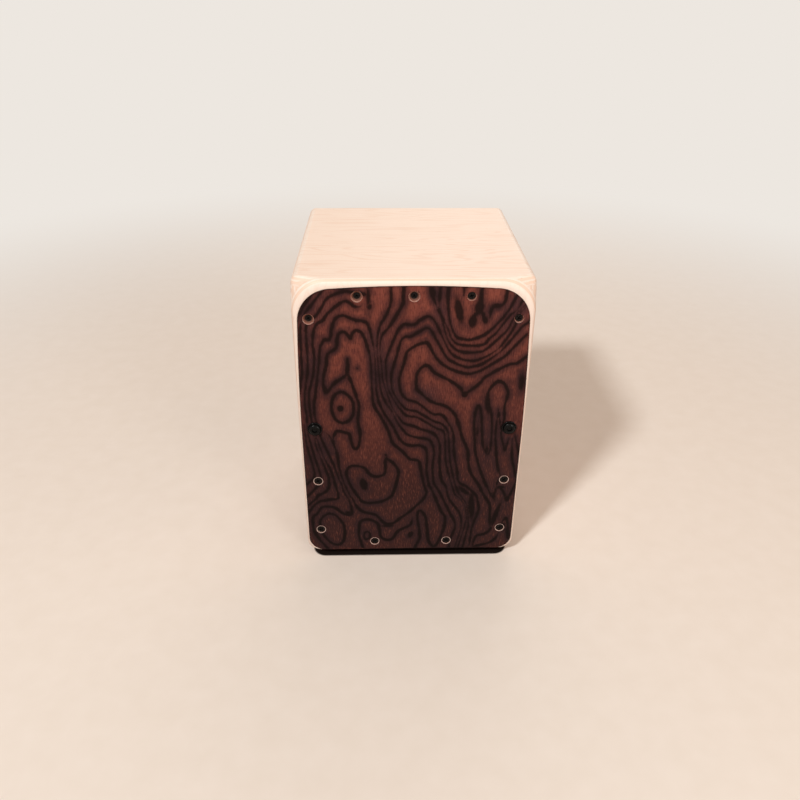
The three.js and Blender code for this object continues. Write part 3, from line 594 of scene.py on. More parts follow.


# Veneer figure ------------------------------------------------------------------------------

# The wood's veins: how wide each is against the others, and points along it as x and height
# in millimetres
VEINS = [
    (1.0, [(-62.6, 212.8), (-68.7, 205.6), (-71.6, 199)]),
    (1.0, [(-73.7, 109.7), (-73, 99.7), (-69.4, 80.4), (-69, 75.4), (-70.3, 72), (-73.5, 68.5)]),
    (1.0, [(-57.3, 214.4), (-63.7, 206), (-71.6, 192.4), (-72.9, 160), (-74.2, 150)]),
    (1.0, [(-39, 213.9), (-42.3, 214.4), (-46.6, 213.5), (-53.4, 210.3), (-55.9, 207.8), (-57.3, 204.6),
        (-60, 200.6), (-62.6, 197.4), (-66, 194.5), (-68, 191), (-68.6, 186.7), (-68.7, 168),
        (-69.3, 158), (-70.9, 149), (-72, 142), (-72.5, 132), (-71.8, 125), (-71.9, 117), (-71.6, 109.7),
        (-70, 99.7), (-67.3, 86), (-65, 75.4), (-65.5, 70), (-67.3, 65.4), (-73.7, 57.6)]),
    (1.1, [(-33, 204.9), (-35, 203.9), (-38, 204.6), (-43.7, 207.8), (-53.4, 200.6), (-57.6, 194.9),
        (-61.2, 192.8), (-63.4, 188.9), (-64.4, 183.9), (-64.9, 178), (-64.4, 168), (-65, 162),
        (-65.9, 155), (-67.6, 149), (-69.1, 143), (-69.6, 137), (-69.4, 130), (-69, 124), (-68, 113),
        (-67, 101), (-65, 93.3), (-59.8, 75.4), (-59, 69.7), (-59.3, 64.7), (-60.9, 61), (-64.4, 58.3),
        (-67.3, 56.9), (-69.4, 53.6), (-74.5, 48.5)]),
    (1.1, [(-67, 113), (-66, 106.9), (-62, 91), (-57.6, 79.7), (-55, 68.3),
        (-53, 57), (-54.4, 53.6), (-65, 51.8), (-68, 50.4), (-70, 48.6), (-73.7, 43.6)]),
    (1.1, [(-63.7, 7.9), (-68.7, 15.7), (-70.9, 20.7), (-72.3, 25.7), (-72.3, 36.4), (-69, 40),
        (-66.2, 45), (-63.7, 46.4), (-60.9, 46.6), (-57.3, 46), (-54.4, 44.3), (-51.6, 41.4),
        (-48.7, 39.3), (-45.9, 38.6), (-43.7, 39.3), (-43.4, 42.9), (-45, 51.4), (-48.7, 60),
        (-50.5, 67.6), (-52.3, 72.6), (-55, 83.3), (-59, 94.7), (-63.4, 108.3), (-66, 122),
        (-66.4, 130), (-66.1, 135), (-65.1, 140), (-63.6, 150.9), (-61.8, 162.3), (-60.3, 175.3),
        (-58.9, 178.9), (-57.3, 181), (-54.4, 181.7), (-52.9, 184.6), (-52.4, 188.9), (-51.2, 193),
        (-49.4, 196),
        (-46.6, 197.8), (-43.7, 197.8), (-37.3, 195), (-33, 194.4), (-30, 193), (-28.4, 189.6),
        (-27.1, 183.9), (-25.3, 171), (-24.4, 145.9), (-23.7, 139.4), (-22.6, 134.4), (-18.7, 125),
        (-13.7, 116.6), (-9, 106), (-6.6, 102.6), (-3.7, 100.4), (0.6, 99.4), (4.1, 99.7), (7.7, 98.6),
        (9.9, 96), (10.9, 86.9), (10.6, 81.9), (10.9, 76.9), (12.7, 65.4), (14.9, 61), (22, 42),
        (24.9, 37), (25.6, 32.9), (25.2, 27), (24, 21.4), (20.6, 10.7), (17.7, 7), (15.6, 9.3),
        (13.4, 14.3), (11.6, 32), (10, 38), (6.6, 42), (4.9, 36.4), (7, 18.6), (6.3, 13.6), (4.5, 9.3),
        (3.4, 5)]),
    (1.15, [(11.3, 59), (8.4, 69), (5.9, 83.3), (4.5, 86.5), (2, 87.6), (-1.6, 88.3), (-6.6, 94.7),
        (-11.6, 99.7), (-13.7, 102.6), (-17.3, 114), (-22.3, 125), (-24.8, 129.4), (-26.6, 134.4),
        (-27.3, 145), (-27.6, 160), (-28.4, 171), (-32.3, 184.2), (-34.4, 187), (-37, 187.8),
        (-39.4, 185.3), (-40.5, 182), (-43.4, 186), (-45.5, 187), (-47.6, 185.6), (-49, 182), (-49.4, 178),
        (-50.5, 175), (-55.3, 171.4), (-56.2, 168.8), (-57, 162), (-58.7, 155.9), (-59.3, 150), (-59, 145),
        (-58, 142.8), (-55.9, 144.4), (-53.7, 147.6), (-50.9, 150.5), (-47.3, 153), (-44.4, 155.9),
        (-43.3, 161), (-43, 167.5)]),
    (1.15, [(-43, 167.5), (-42.3, 155.9), (-40, 147.3), (-36.4, 133.7), (-36.2, 129.4), (-37.3, 120.9),
        (-35.9, 109.7), (-36.9, 100.4), (-39, 97.2), (-41.2, 99), (-43, 108.3), (-45, 110.4),
        (-51.6, 112.2), (-53.4, 109.7), (-54.6, 105.4), (-54.4, 101), (-52.2, 91), (-50.9, 78.3),
        (-48, 66.9), (-44.4, 56.4), (-42.3, 52.9), (-40.9, 48.6), (-39, 45), (-36.6, 42.5), (-33.7, 41),
        (-26.6, 38.6), (-23.5, 35.5), (-20.5, 31.5), (-17, 29.5), (-12, 31), (-7, 36), (-1, 41), (9, 53),
        (11.3, 59)]),
    (0.7, [(-53, 95), (-56.6, 107), (-59.4, 111)]),
    (1.1, [(-47.3, 143.4), (-51.6, 141.2), (-54, 136.6), (-54.8, 130.9), (-54, 125.9), (-52.3, 121.6),
        (-49.4, 119), (-46.6, 118.7), (-43, 120.9), (-40.5, 125), (-39.8, 130.9), (-40.5, 135.9),
        (-43, 140), (-47.3, 143.4)]),
    (1.1, [(-18.4, 91.9), (-15.9, 87.6), (-13, 84.7), (-10.5, 81), (-9.3, 76.9), (-10, 71), (-12.3, 61),
        (-15, 55), (-22, 50.7), (-28, 49.6), (-32.3, 49.6), (-35, 50.7), (-37.3, 53.2), (-43, 64),
        (-46.2, 74), (-45.9, 79), (-43.7, 82.2), (-40.9, 82.9), (-38, 82.6), (-34.4, 81.5), (-32.3, 79.4),
        (-30.5, 76), (-28, 74), (-25, 73), (-22.5, 73.5), (-20, 75), (-18.7, 78.3), (-19, 88.3),
        (-18.4, 91.9)]),
    (1.0, [(-14.4, 217.4), (-14.8, 206), (-18, 197.4), (-20.9, 192.4), (-22.3, 188), (-23.2, 183),
        (-23.4, 171), (-21.6, 145.9), (-18.7, 135.9), (-14, 127.3), (-9.8, 118), (-5, 111), (-3, 108.6),
        (4.1, 106), (8.4, 105.4), (12, 104), (14, 101), (15.2, 96.9), (15.6, 91.9), (14.9, 81.9),
        (15.6, 71), (16.6, 66), (21, 58), (29, 39.3), (31.3, 35), (33, 30), (33, 25), (30.6, 15.7),
        (29.5, 9)]),
    (1.0, [(16, 216.7), (15.7, 205), (16.6, 200), (22, 188), (24, 182.4), (27, 178.9), (30.6, 177.3),
        (39, 176.6), (43.4, 177), (46.3, 178), (49, 182), (52.7, 185.6), (60.6, 197.4), (64.9, 201.7),
        (67.7, 207.4)]),
    (1.1, [(-6.6, 216.7), (-6.6, 210.3), (-7.3, 205.3), (-14.8, 191.7), (-20, 184.6), (-21.2, 180),
        (-21.6, 175), (-21.2, 168), (-20.1, 153.7), (-19, 147.3), (-14.8, 133.7), (-12.6, 128.7),
        (-7.6, 120), (-5, 117.6), (2, 115.2), (5.6, 113.3), (12.7, 110.8), (15.6, 108.6), (17.7, 105.8),
        (19, 101.9), (19.7, 97.6), (19.9, 81.9), (21.3, 71), (22.7, 67.6), (24.9, 64), (26.5, 57),
        (28.4, 51.4), (34, 42.9), (36.3, 38.6), (37.4, 33.6), (37.7, 27.9), (37.4, 22.9), (33.8, 6.4)]),
    (1.0, [(10.7, 216.5), (12, 209.6), (17.7, 196), (18.8, 191), (22, 181), (24.9, 176.4), (27.7, 173.9),
        (31.3, 172.4), (35.6, 171.7), (39.9, 171.9), (44, 172.4), (47, 174), (54, 181), (59.9, 188),
        (64, 197.4), (71, 206.5)]),
    (1.0, [(36.3, 7), (38.8, 18.6), (40.7, 29.3), (41.3, 35), (40.7, 40), (39.9, 45), (38, 49.3),
        (35.6, 52.9), (32.7, 55.7), (31, 59), (26.1, 76.5), (24, 86.9), (23.3, 98.3), (22.7, 107.6),
        (21.6, 111), (19.9, 112.6), (16.3, 114), (5.6, 121.2), (2, 123), (-1.6, 123.4), (-5.1, 125),
        (-8, 128.7), (-10.9, 133), (-16.6, 145.9), (-18, 162.3), (-17.6, 168), (-14, 178), (-10.5, 186.7),
        (-8, 190.6), (-5.9, 192), (-0.9, 191.4), (1.3, 192.4), (3.4, 194.6), (6.3, 196.4), (9.1, 197.4),
        (11.6, 196), (14.1, 192.4), (17.7, 184.6), (22, 175.3), (24.9, 171), (28.4, 168.5), (32, 166.7),
        (36.3, 165.9), (40.6, 166), (44.9, 167.4), (52.7, 172.4), (57.7, 178), (64, 189.6), (66, 197),
        (70.6, 203.9)]),
    (1.0, [(39.9, 6.4), (42.7, 24.3), (43, 30), (41.3, 45.7), (37, 54.3), (34.5, 57.6), (30.9, 68.3),
        (28.4, 79.7), (26.6, 91), (24.9, 109.7), (22, 115.5), (19, 118), (14.9, 119.4), (4.1, 126.6),
        (0.6, 128), (-3.7, 129), (-6.6, 131.6), (-10.9, 138), (-14, 145.9), (-14.4, 155), (-13.7, 159.4),
        (-10.9, 169.6), (-8.7, 178.9), (-6.9, 182), (-4.4, 183.5), (-1.6, 183.5), (7, 188.9), (9.5, 188.9),
        (11.6, 186.7), (16.3, 178), (22, 168), (26.3, 164.8), (30.6, 162.6), (34.9, 161.2), (37.7, 161),
        (45.6, 163.7), (55.6, 171.5), (60.9, 177.8), (69, 189.6), (73, 193)]),
    (1.0, [(44, 5), (44.9, 10), (45.9, 24.3), (49.5, 39.3), (49.9, 44.3), (48, 54.3), (46.3, 56.9),
        (40.6, 63.3), (37, 65.4), (34, 68.3), (33, 72.6), (32.4, 78.3), (29.7, 93.3), (28.4, 109.7),
        (23.4, 120), (21.3, 123.4), (18.4, 125), (14.9, 124.8), (12, 126.6), (5.6, 132.3), (2, 134.8),
        (-2.3, 136.2), (-5.1, 138), (-7.6, 141.6), (-8.7, 145.9), (-9, 150.9), (-8.7, 155), (-6.2, 163.7),
        (-4.4, 171.7), (-2.3, 174.2), (0.6, 176.4), (3.4, 177.8), (7, 178.9), (9.5, 177.8), (14.9, 168),
        (22, 161.2), (30.6, 157.3), (37.7, 156.2), (44.9, 158.7), (52, 163.4), (59, 168.5), (62, 171.5),
        (71.3, 183), (74.5, 185.3)]),
    (1.25, [(74, 168.5), (68.4, 164), (64.9, 163.4), (61.3, 162), (53.4, 157.3), (47, 152.6),
        (44.9, 149.4), (35.2, 141.2), (32, 145), (26.3, 149.8), (14, 157.3), (11.3, 160.9), (8.4, 162.5),
        (5.6, 161), (3.4, 158), (2.4, 154.4), (2.4, 145.9), (4.1, 143), (12.7, 135), (22.7, 131.2),
        (28.8, 125), (31.3, 118.7), (34.9, 106), (38.4, 97.6), (39.5, 92.6), (40.7, 81.9), (42, 76.9),
        (44, 72.6), (48.8, 64.7), (52.4, 57), (57.4, 47.9), (58.4, 43.6), (59, 28.6), (59.9, 24.3),
        (57.7, 20.7), (54, 18.6), (50.6, 17.9), (48.8, 15.7), (47.7, 10.7), (47.4, 5.7)]),
    (1.0, [(60, 52), (52.7, 68.3), (47, 84.7), (44.5, 95.4), (43.4, 106.9), (42.4, 119.4), (43.4, 129.4),
        (44.9, 131.6), (46.4, 128), (47.4, 122.3), (48.4, 110), (49.5, 99.7), (51.3, 94.7), (53.4, 91.9),
        (54.7, 94), (55.2, 99.7), (54.9, 115), (53.6, 126.6), (51.5, 133), (50.6, 140.9), (52, 145),
        (54, 148), (57, 150.5), (60.6, 148.7), (62.7, 145), (64, 140.9), (62.4, 130.9), (63, 121.6),
        (61.6, 110.4), (64, 99), (65.6, 95.4), (67.4, 105.4)]),
    (1.0, [(57.9, 130.5), (59.3, 123), (60.6, 116), (61.6, 110.4)]),
    (1.0, [(58.6, 127), (57.9, 118), (57.9, 110), (58.6, 100), (59.9, 90), (61.6, 80), (64.3, 72)]),
    (0.9, [(71.3, 108.3), (75.2, 92.6)]),
    (0.9, [(69.9, 104.7), (70.6, 91.9), (71.3, 86.9), (73.8, 76.9)]),
    (1.1, [(61, 65), (64.5, 62.5), (67.7, 57.4), (70.2, 50.4), (72.2, 56.5), (75, 64)]),
    (0.9, [(60.2, 51.8), (61, 58), (61.6, 64), (63.2, 72)]),
    (1.6, [(64.9, 41.4), (61, 27)]),
    (1.1, [(67.7, 29.5), (69.6, 32.5), (71.3, 33.9), (72.4, 29), (73, 23)]),
    (1.1, [(66.3, 20), (64.9, 15.7), (62, 12), (58.4, 10), (54, 8.6)]),
    (1.1, [(21.3, 216.7), (21, 210), (21.3, 204.6), (22.6, 194.6), (24.1, 189.6), (25.9, 185.3),
        (27.7, 182.8), (30.6, 181.6), (34.9, 180.9), (39, 181.6), (46.3, 185), (53.4, 192.4), (59, 200.3),
        (61.3, 204.6), (64, 211.5)]),
    (1.2, [(48.1, 195.5), (48.5, 200.5), (50, 203.6), (54.9, 204.6), (57, 207.4), (57.7, 214.5)]),
    (0.9, [(31, 219), (30.8, 211)]),
    (1.4, [(42, 217), (42.2, 207), (41, 202), (38.3, 197.5), (36.8, 193), (36.6, 189)]),
    (1.2, [(41.8, 204), (43.6, 198.5), (45.4, 192.5)]),
    (1.1, [(-58.7, 40), (-61.6, 39.6), (-64.4, 37.5), (-66.6, 34.3), (-67.4, 31), (-67, 24), (-62.3, 15),
        (-59.4, 11.8), (-55.9, 10), (-53, 10.7), (-50.5, 14.3), (-49.4, 19.3), (-49.4, 25), (-50, 30),
        (-52.3, 34.3), (-55, 37.9), (-58.7, 40)]),
    (1.1, [(-36, 7), (-38, 15), (-38.7, 20), (-38, 30), (-36.9, 32.5), (-33.7, 33.9), (-30, 33.9),
        (-26.6, 32), (-24, 28.6), (-22.6, 18.6), (-20.9, 15.7), (-18, 14.3), (-15, 14.6), (-12.6, 17),
        (-10.9, 20.7), (-8, 23.9), (-0.9, 27.9), (0.6, 31.4), (1.3, 35.7)]),
    (0.9, [(-34.4, 21.4), (-32.3, 22.5), (-30.5, 20), (-30.9, 16.4), (-33.7, 15), (-35, 17.9),
        (-34.4, 21.4)]),
]
# Dark spots where a vein lies almost flat in the sheet: x, z, half width, half length in millimetres, and
# how far each leans clockwise from upright, in degrees
SPOTS = [
    (-28.6, 210.5, 1.3, 6.5, 0), (-28, 204, 1.6, 1.9, 0), (-6.9, 211, 1.6, 6, 0),
    (11.2, 213.5, 2.2, 4, -15), (28.4, 201, 2.7, 8.5, -12), (41.2, 203, 3, 5.2, 8),
    (37.3, 193.5, 2.7, 4.8, 8), (45, 195, 1.9, 3, -20), (52, 204.3, 3.8, 1.9, 0), (41.6, 211, 1.7, 6.5, 0),
    (-48.7, 130, 2.3, 2.5, 0), (-34.3, 66.5, 2.8, 5.5, -15), (-56.6, 181.6, 2, 1.4, 0),
    (34.9, 140.6, 2.4, 2.6, 0), (51, 131.5, 1.8, 8, -10), (57, 149.6, 3.4, 0.9, 0), (45.2, 110, 0.8, 9, 0),
    (52.5, 95, 1.4, 5, 0), (72.3, 149.5, 2, 6.4, 0), (44.6, 46, 2.4, 12, -4), (38.5, 59.6, 1.6, 6, 132),
    (-16.6, 27.9, 4, 1.2, 0), (0, 19.3, 3.5, 2, -60), (-58, 53.2, 4, 1.4, 0), (-46.2, 40.5, 2.6, 1.6, 0),
    (69, 26, 2, 4, 0), (60.3, 54.5, 1.3, 4, -15), (62.9, 38.5, 1.8, 11, 17), (64.5, 62.8, 3, 1.5, 0),
    (-36.8, 160.5, 0.7, 0.8, 0), (-43.2, 159, 1.2, 5, 0), (-58.4, 144.8, 1.5, 3.4, 0),
    (-17.7, 88.5, 1.2, 3.2, 0), (65, 97.4, 1.1, 3.2, 0), (70.3, 53, 1.2, 3.2, 0),
]
# Places where the ground itself is smoky: x, z, half width, half length
SMOKY = [(54, 100, 17, 55), (68, 60, 12, 34), (-62, 30, 16, 30), (8, 140, 18, 14), (-76, 80, 13, 46)]
# and places where it stays open although the veins lie close, by this share in their middle
CLEAR, CLEAR_SHARE = [(40, 173, 50, 34), (0, 186, 30, 28)], 0.85
# A vein's half width where the wood lies open and where veins crowd
VEIN_HALF, VEIN_HALF_CROWDED = 1.22, 0.95
# A vein's points are this far apart. It tapers to a tip in the wood over a length, from a start that isn't
# quite nothing. One that ends near the sheet's edge runs on past it.
VEIN_STEP, VEIN_TAPER, VEIN_TIP, VEIN_RUN_ON, BORDER_REACH = 0.4, 6.0, 0.8, 8.0, 4.5
# Steps between two drawn points, how many points give a tip's direction, and how near two ends are joined
CURVE_STEPS, TIP_POINTS, JOINED = 24, 6, 0.1
# Crowding: its blur and how far that reaches, and the room round the sheet, all in millimetres
CROWD_BLUR, CROWD_REACH, CROWD_MARGIN = 4.5, 15, 20
# and the length of vein in a square millimetre that counts as none and as full
CROWD_LOW, CROWD_HIGH = 0.08, 0.26
# Side by side, veins leave a gap between them: how far a neighbour counts, how much of the way to it the
# soft edge takes, the thinnest half width, and how close two veins count as one
NEIGHBOUR_REACH, SOFT_EDGE, VEIN_HALF_LEAST, MERGED = 3.8, 0.6, 0.28, 1.3
# A neighbour is at least this many points away, and no further ahead than this share of its distance
OWN_POINTS, AHEAD = 20, 0.5
# The sheet's mesh: how far apart its points are, how near a vein the even grid stops, and how far inside
# an edge it starts
VENEER_PITCH, GRID_GAP, EDGE_GAP = 1.0, 0.55, 0.5
# The dark line round the sheet's edge: its width, and how far inside a vein it counts
BORDER_LINE, BORDER_EDGE = 0.05, -0.2


def smooth_line(points, step):
    """Points at an even step along a curve that passes through the given ones."""
    points = np.array(points, float)
    ends = np.concatenate([[2 * points[0] - points[1]], points, [2 * points[-1] - points[-2]]])
    t = np.linspace(0, 1, CURVE_STEPS, endpoint=False)[:, None]
    pieces = []
    for a, b, c, d in zip(ends, ends[1:], ends[2:], ends[3:]):
        pieces.append(0.5 * (2 * b + (c - a) * t + (2 * a - 5 * b + 4 * c - d) * t ** 2
                             + (3 * b - a - 3 * c + d) * t ** 3))
    curve = np.concatenate(pieces + [points[-1:]])
    run = np.concatenate([[0], np.cumsum(np.linalg.norm(np.diff(curve, axis=0), axis=1))])
    count = max(int(round(run[-1] / step)), 1)
    marks = np.linspace(0, run[-1], count + 1)
    return np.stack([np.interp(marks, run, curve[:, i]) for i in (0, 1)], 1)


def inside_by(places, border):
    """How far each place lies inside a border that has no hollows."""
    along = np.roll(border, -1, 0) - border
    inward = np.stack([-along[:, 1], along[:, 0]], 1) / np.linalg.norm(along, axis=1)[:, None]
    return (places @ inward.T - np.sum(border * inward, axis=1)).min(axis=1)


def finder(points):
    """A tree that finds the points near a place."""
    tree = KDTree(len(points))
    for k, (x, z) in enumerate(points):
        tree.insert((x, z, 0), k)
    tree.balance()
    return tree


def vein_samples(border):
    """Close points along every vein with the vein's width share at each: whole where it joins another
    vein or runs off the sheet, and tapering to a point where it ends in the wood."""
    ends = np.array([point for _, points in VEINS for point in (points[0], points[-1])], float)
    samples, shares = [], []
    for weight, points in VEINS:
        line = smooth_line(points, VEIN_STEP)
        share = np.full(len(line), weight)
        for _ in range(2):
            tip = line[0]
            if inside_by(tip[None], border)[0] < BORDER_REACH:
                way = (tip - line[TIP_POINTS]) / np.linalg.norm(tip - line[TIP_POINTS])
                reach = np.arange(VEIN_RUN_ON, 0, -VEIN_STEP)[:, None]
                line = np.concatenate([tip + way * reach, line])
                share = np.concatenate([np.full(len(reach), share[0]), share])
            elif np.sum(np.linalg.norm(ends - tip, axis=1) < JOINED) == 1:
                run = np.arange(len(line)) * VEIN_STEP
                share = share * np.clip((run + VEIN_TIP) / VEIN_TAPER, 0, 1)
            line, share = line[::-1], share[::-1]
        samples.append(line)
        shares.append(share)
    return np.concatenate(samples), np.concatenate(shares)


def soft_oval(places, x, z, half_width, half_length):
    """How far each place lies in an oval, from 0 at its edge to 1 in its middle."""
    away = np.hypot((places[:, 0] - x) / half_width, (places[:, 1] - z) / half_length)
    return soft_step(np.clip(1 - away, 0, 1))


def crowding(samples, places):
    """How close the veins lie about each place, from 0 to 1, from their length in each square millimetre."""
    wide, high = int(SIDE_X) + CROWD_MARGIN, int(TOP_Z) + CROWD_MARGIN
    cells = [np.arange(-wide, wide + 1), np.arange(-CROWD_MARGIN, high + 1)]
    counts = np.histogram2d(samples[:, 0], samples[:, 1], bins=cells)[0]
    weights = np.exp(-0.5 * (np.arange(-CROWD_REACH, CROWD_REACH + 1) / CROWD_BLUR) ** 2)
    weights /= weights.sum()
    for axis in (0, 1):
        counts = np.apply_along_axis(np.convolve, axis, counts, weights, mode="same")
    # between the middles of four cells
    u, v = places[:, 0] + wide - 0.5, places[:, 1] + CROWD_MARGIN - 0.5
    i, j = u.astype(int), v.astype(int)
    p, q = u - i, v - j
    length = ((1 - p) * (1 - q) * counts[i, j] + p * (1 - q) * counts[i + 1, j]
              + (1 - p) * q * counts[i, j + 1] + p * q * counts[i + 1, j + 1]) * VEIN_STEP
    crowd = soft_step(np.clip((length - CROWD_LOW) / (CROWD_HIGH - CROWD_LOW), 0, 1))
    for oval in SMOKY:
        crowd = np.maximum(crowd, soft_oval(places, *oval))
    for oval in CLEAR:
        crowd = crowd * (1 - CLEAR_SHARE * soft_oval(places, *oval))
    return crowd


def vein_edges(samples, shares, crowd_there, places):
    """The distance from each place to the edge of the nearest vein or spot, less than zero inside it."""
    half = shares * (VEIN_HALF + (VEIN_HALF_CROWDED - VEIN_HALF) * crowd_there)
    tree = finder(samples)
    ahead = np.gradient(samples, axis=0)
    ahead /= np.maximum(np.linalg.norm(ahead, axis=1), TINY)[:, None]
    for k, (x, z) in enumerate(samples):
        room = NEIGHBOUR_REACH
        for place, other, distance in tree.find_range((x, z, 0), NEIGHBOUR_REACH):
            forward = abs((place.x - x) * ahead[k, 0] + (place.y - z) * ahead[k, 1])
            if abs(other - k) > OWN_POINTS and distance > MERGED and forward < AHEAD * distance:
                room = min(room, distance)
        half[k] = min(half[k], max(room / 2 - SOFT_EDGE, VEIN_HALF_LEAST))
    edge = np.empty(len(places))
    for k, (x, z) in enumerate(places):
        _, nearest, distance = tree.find((x, z, 0))
        edge[k] = distance - half[nearest]
    for x, z, half_width, half_length, lean in SPOTS:
        c, s = math.cos(math.radians(lean)), math.sin(math.radians(lean))
        across = ((places[:, 0] - x) * c - (places[:, 1] - z) * s) / half_width
        along = ((places[:, 0] - x) * s + (places[:, 1] - z) * c) / half_length
        edge = np.minimum(edge, (np.hypot(across, along) - 1) * min(half_width, half_length))
    return edge


def bolt_holes(near, far):
    """The two bolts' holes between two depths."""
    return [(b.x, b.z, [(BOLT_SHANK + FIT, near), (BOLT_SHANK + FIT, far)], BOLT_SIDES) for b in bolts]


def make_veneer():
    """The burl sheet, with its figure as two attributes of its points."""
    front, rear = station(0, 1), station(VENEER, 1)
    border = front[:, [0, 2]]
    holes = [(s["x"], s["z"], [(s["kind"]["rim"], FACE_Y), (s["mouth"], FACE_Y + RING_DROP),
                               (s["mouth"] - VENEER * s["slope"], FACE_Y + VENEER)], SCREW_SIDES)
             for s in screws] + bolt_holes(FACE_Y, FACE_Y + VENEER)
    samples, shares = vein_samples(border)
    crowd_there = crowding(samples, np.clip(samples, (-SIDE_X, 0), (SIDE_X, TOP_Z)))

    # the mesh has points along the veins, and an even grid between them
    middles = samples[::2]
    columns = np.arange(-SIDE_X, SIDE_X, VENEER_PITCH)
    rows = np.arange(FLOOR_Z, TOP_Z, VENEER_PITCH * math.sqrt(3) / 2)
    grid = np.array([(x + (VENEER_PITCH / 2 if k % 2 else 0), z)
                     for k, z in enumerate(rows) for x in columns])
    tree = finder(middles)
    clear = np.array([tree.find((x, z, 0))[2] > GRID_GAP * VENEER_PITCH for x, z in grid])
    grid = np.concatenate([grid[clear], middles])
    keep = inside_by(grid, border) > EDGE_GAP
    for x, z, profile, _ in holes:
        keep &= np.linalg.norm(grid - (x, z), axis=1) > profile[0][0] + EDGE_GAP
    bm = sheet_with_holes([front, rear], holes, grid[keep], hole_material=1)
    veneer = finish_mesh("burl_face", bm, burl)
    mesh = veneer.data
    mesh.materials.append(cut_ply)
    corners = np.empty(len(mesh.vertices) * 3)
    mesh.vertices.foreach_get("co", corners)
    flat = corners.reshape(-1, 3)[:, [0, 2]] / MM
    # sanding leaves a thin dark line round the sheet's edge
    vein = vein_edges(samples, shares, crowd_there, flat)
    vein = np.where(inside_by(flat, border) < BORDER_LINE, np.minimum(vein, BORDER_EDGE), vein)
    for name, values in (("vein", vein), ("crowd", crowding(samples, flat))):
        attribute = mesh.attributes.new(name, "FLOAT", "POINT")
        attribute.data.foreach_set("value", values.astype(np.float32))
    seat(veneer, "burl_veneer", "burl_veneer")


# The box and the plate's core ---------------------------------------------------------------

# The core's second ring lies at least this far behind its first
FIRST_GAP = 0.02


def make_core():
    """The plate's birch core with its sanded edge, countersinks and bores."""
    rings = [station(VENEER + GLUE_LINE, 1)] + rounding_stations(VENEER + GLUE_LINE + FIRST_GAP)
    rings[-1] = station(VENEER + GLUE_LINE + CORE, 0)
    bore = SHANK + FIT
    holes = []
    for s in screws:
        wide, seat_y = s["kind"]["seat"], FACE_Y + s["kind"]["deep"]
        top = s["mouth"] - (VENEER + GLUE_LINE) * s["slope"]
        wall = [(top, CORE_Y), (wide, seat_y), (bore, seat_y + wide - bore), (bore, PLATE_BACK_Y)]
        holes.append((s["x"], s["z"], wall, SCREW_SIDES))
    holes += bolt_holes(CORE_Y, PLATE_BACK_Y)
    core = finish_mesh("plate_core", sheet_with_holes(rings, holes, hole_material=1), core_ply)
    core.data.materials.append(cut_ply)
    seat(core, "birch_ply", "front_plate")


# How many stations the skin has where its corners change, along its length and round its back edge, and
# how far from the changes the ones along its length lie
BLEND_STATIONS, LENGTH_STATIONS, SKIN_BACK_STATIONS = 10, 8, 9
BLEND_GAP, FRONT_GAP, BACK_GAP = 0.6, 12, 10
BACK_EDGE_STATIONS, HOLE_EDGE_STATIONS = 10, 8


def skin():
    """The drum's whole outside as one closed mesh behind the plate."""
    rings = [station(BOX_FRONT_Y - FACE_Y, 0)]
    rings += [station(behind, 0)
              for behind in np.linspace(ROUNDING_DEPTH + BLEND_GAP, BLEND_END, BLEND_STATIONS)]
    along = np.linspace(FACE_Y + BLEND_END + FRONT_GAP, BACK_Y - BACK_GAP, LENGTH_STATIONS)
    rings += [ring_at(y, rings[-1][:, [0, 2]]) for y in along]
    rings += back_stations(SKIN_BACK_STATIONS)
    bm = bmesh.new()
    add_strip(bm, rings)
    add_flat(bm, rings[0][0][1], rings[0][:, [0, 2]], [], -1)
    add_flat(bm, rings[-1][0][1], rings[-1][:, [0, 2]], [], 1)
    merge(bm)
    return bm


def cut(bm, spot, outward):
    """Keeps what lies behind a plane and closes the cut."""
    geometry = bm.verts[:] + bm.edges[:] + bm.faces[:]
    made = bmesh.ops.bisect_plane(
        bm, geom=geometry, dist=ON_CUT, plane_co=spot, plane_no=outward, clear_outer=True)
    edges = [g for g in made["geom_cut"] if isinstance(g, bmesh.types.BMEdge)]
    bmesh.ops.edgenet_fill(bm, edges=edges)


# How much sandpaper takes off an edge, how sharp an edge has to be for that, and what counts as flat
EASE, EASE_ANGLE, FLAT_ANGLE = 0.25, 40, 0.2


def ease(bm):
    """Takes the sharpness off edges, as sandpaper does."""
    merge(bm)
    bmesh.ops.dissolve_limit(bm, angle_limit=math.radians(FLAT_ANGLE), verts=bm.verts, edges=bm.edges)
    sharp = [e for e in bm.edges
             if len(e.link_faces) == 2 and e.calc_face_angle() > math.radians(EASE_ANGLE)]
    bmesh.ops.bevel(bm, geom=sharp, offset=EASE, offset_type="OFFSET", segments=2, profile=0.5,
                    affect="EDGES", clamp_overlap=True)


def make_walls():
    """Four panels, each cut from the skin, with the sides between the top and the bottom."""
    inner_low, inner_high = FLOOR_Z + PANEL + GLUE_LINE, TOP_Z - PANEL - GLUE_LINE
    up, down = (0, 0, 1), (0, 0, -1)
    walls = [
        ("top_wall", top_ply, "top_panel", [((0, 0, TOP_Z - PANEL), down)]),
        ("bottom_wall", bottom_ply, "bottom_panel", [((0, 0, FLOOR_Z + PANEL), up)]),
    ]
    for side, sign, ply in (("left", -1, left_ply), ("right", 1, right_ply)):
        walls.append((side + "_wall", ply, side + "_side_panel", [
            ((sign * (SIDE_X - PANEL), 0, 0), (-sign, 0, 0)),
            ((0, 0, inner_low), down),
            ((0, 0, inner_high), up),
        ]))
    for name, ply, node, planes in walls:
        bm = skin()
        cut(bm, (0, BOX_BACK_Y, 0), (0, 1, 0))
        for spot, outward in planes:
            cut(bm, spot, outward)
        ease(bm)
        seat(finish_mesh(name, bm, ply), "birch_ply", node)


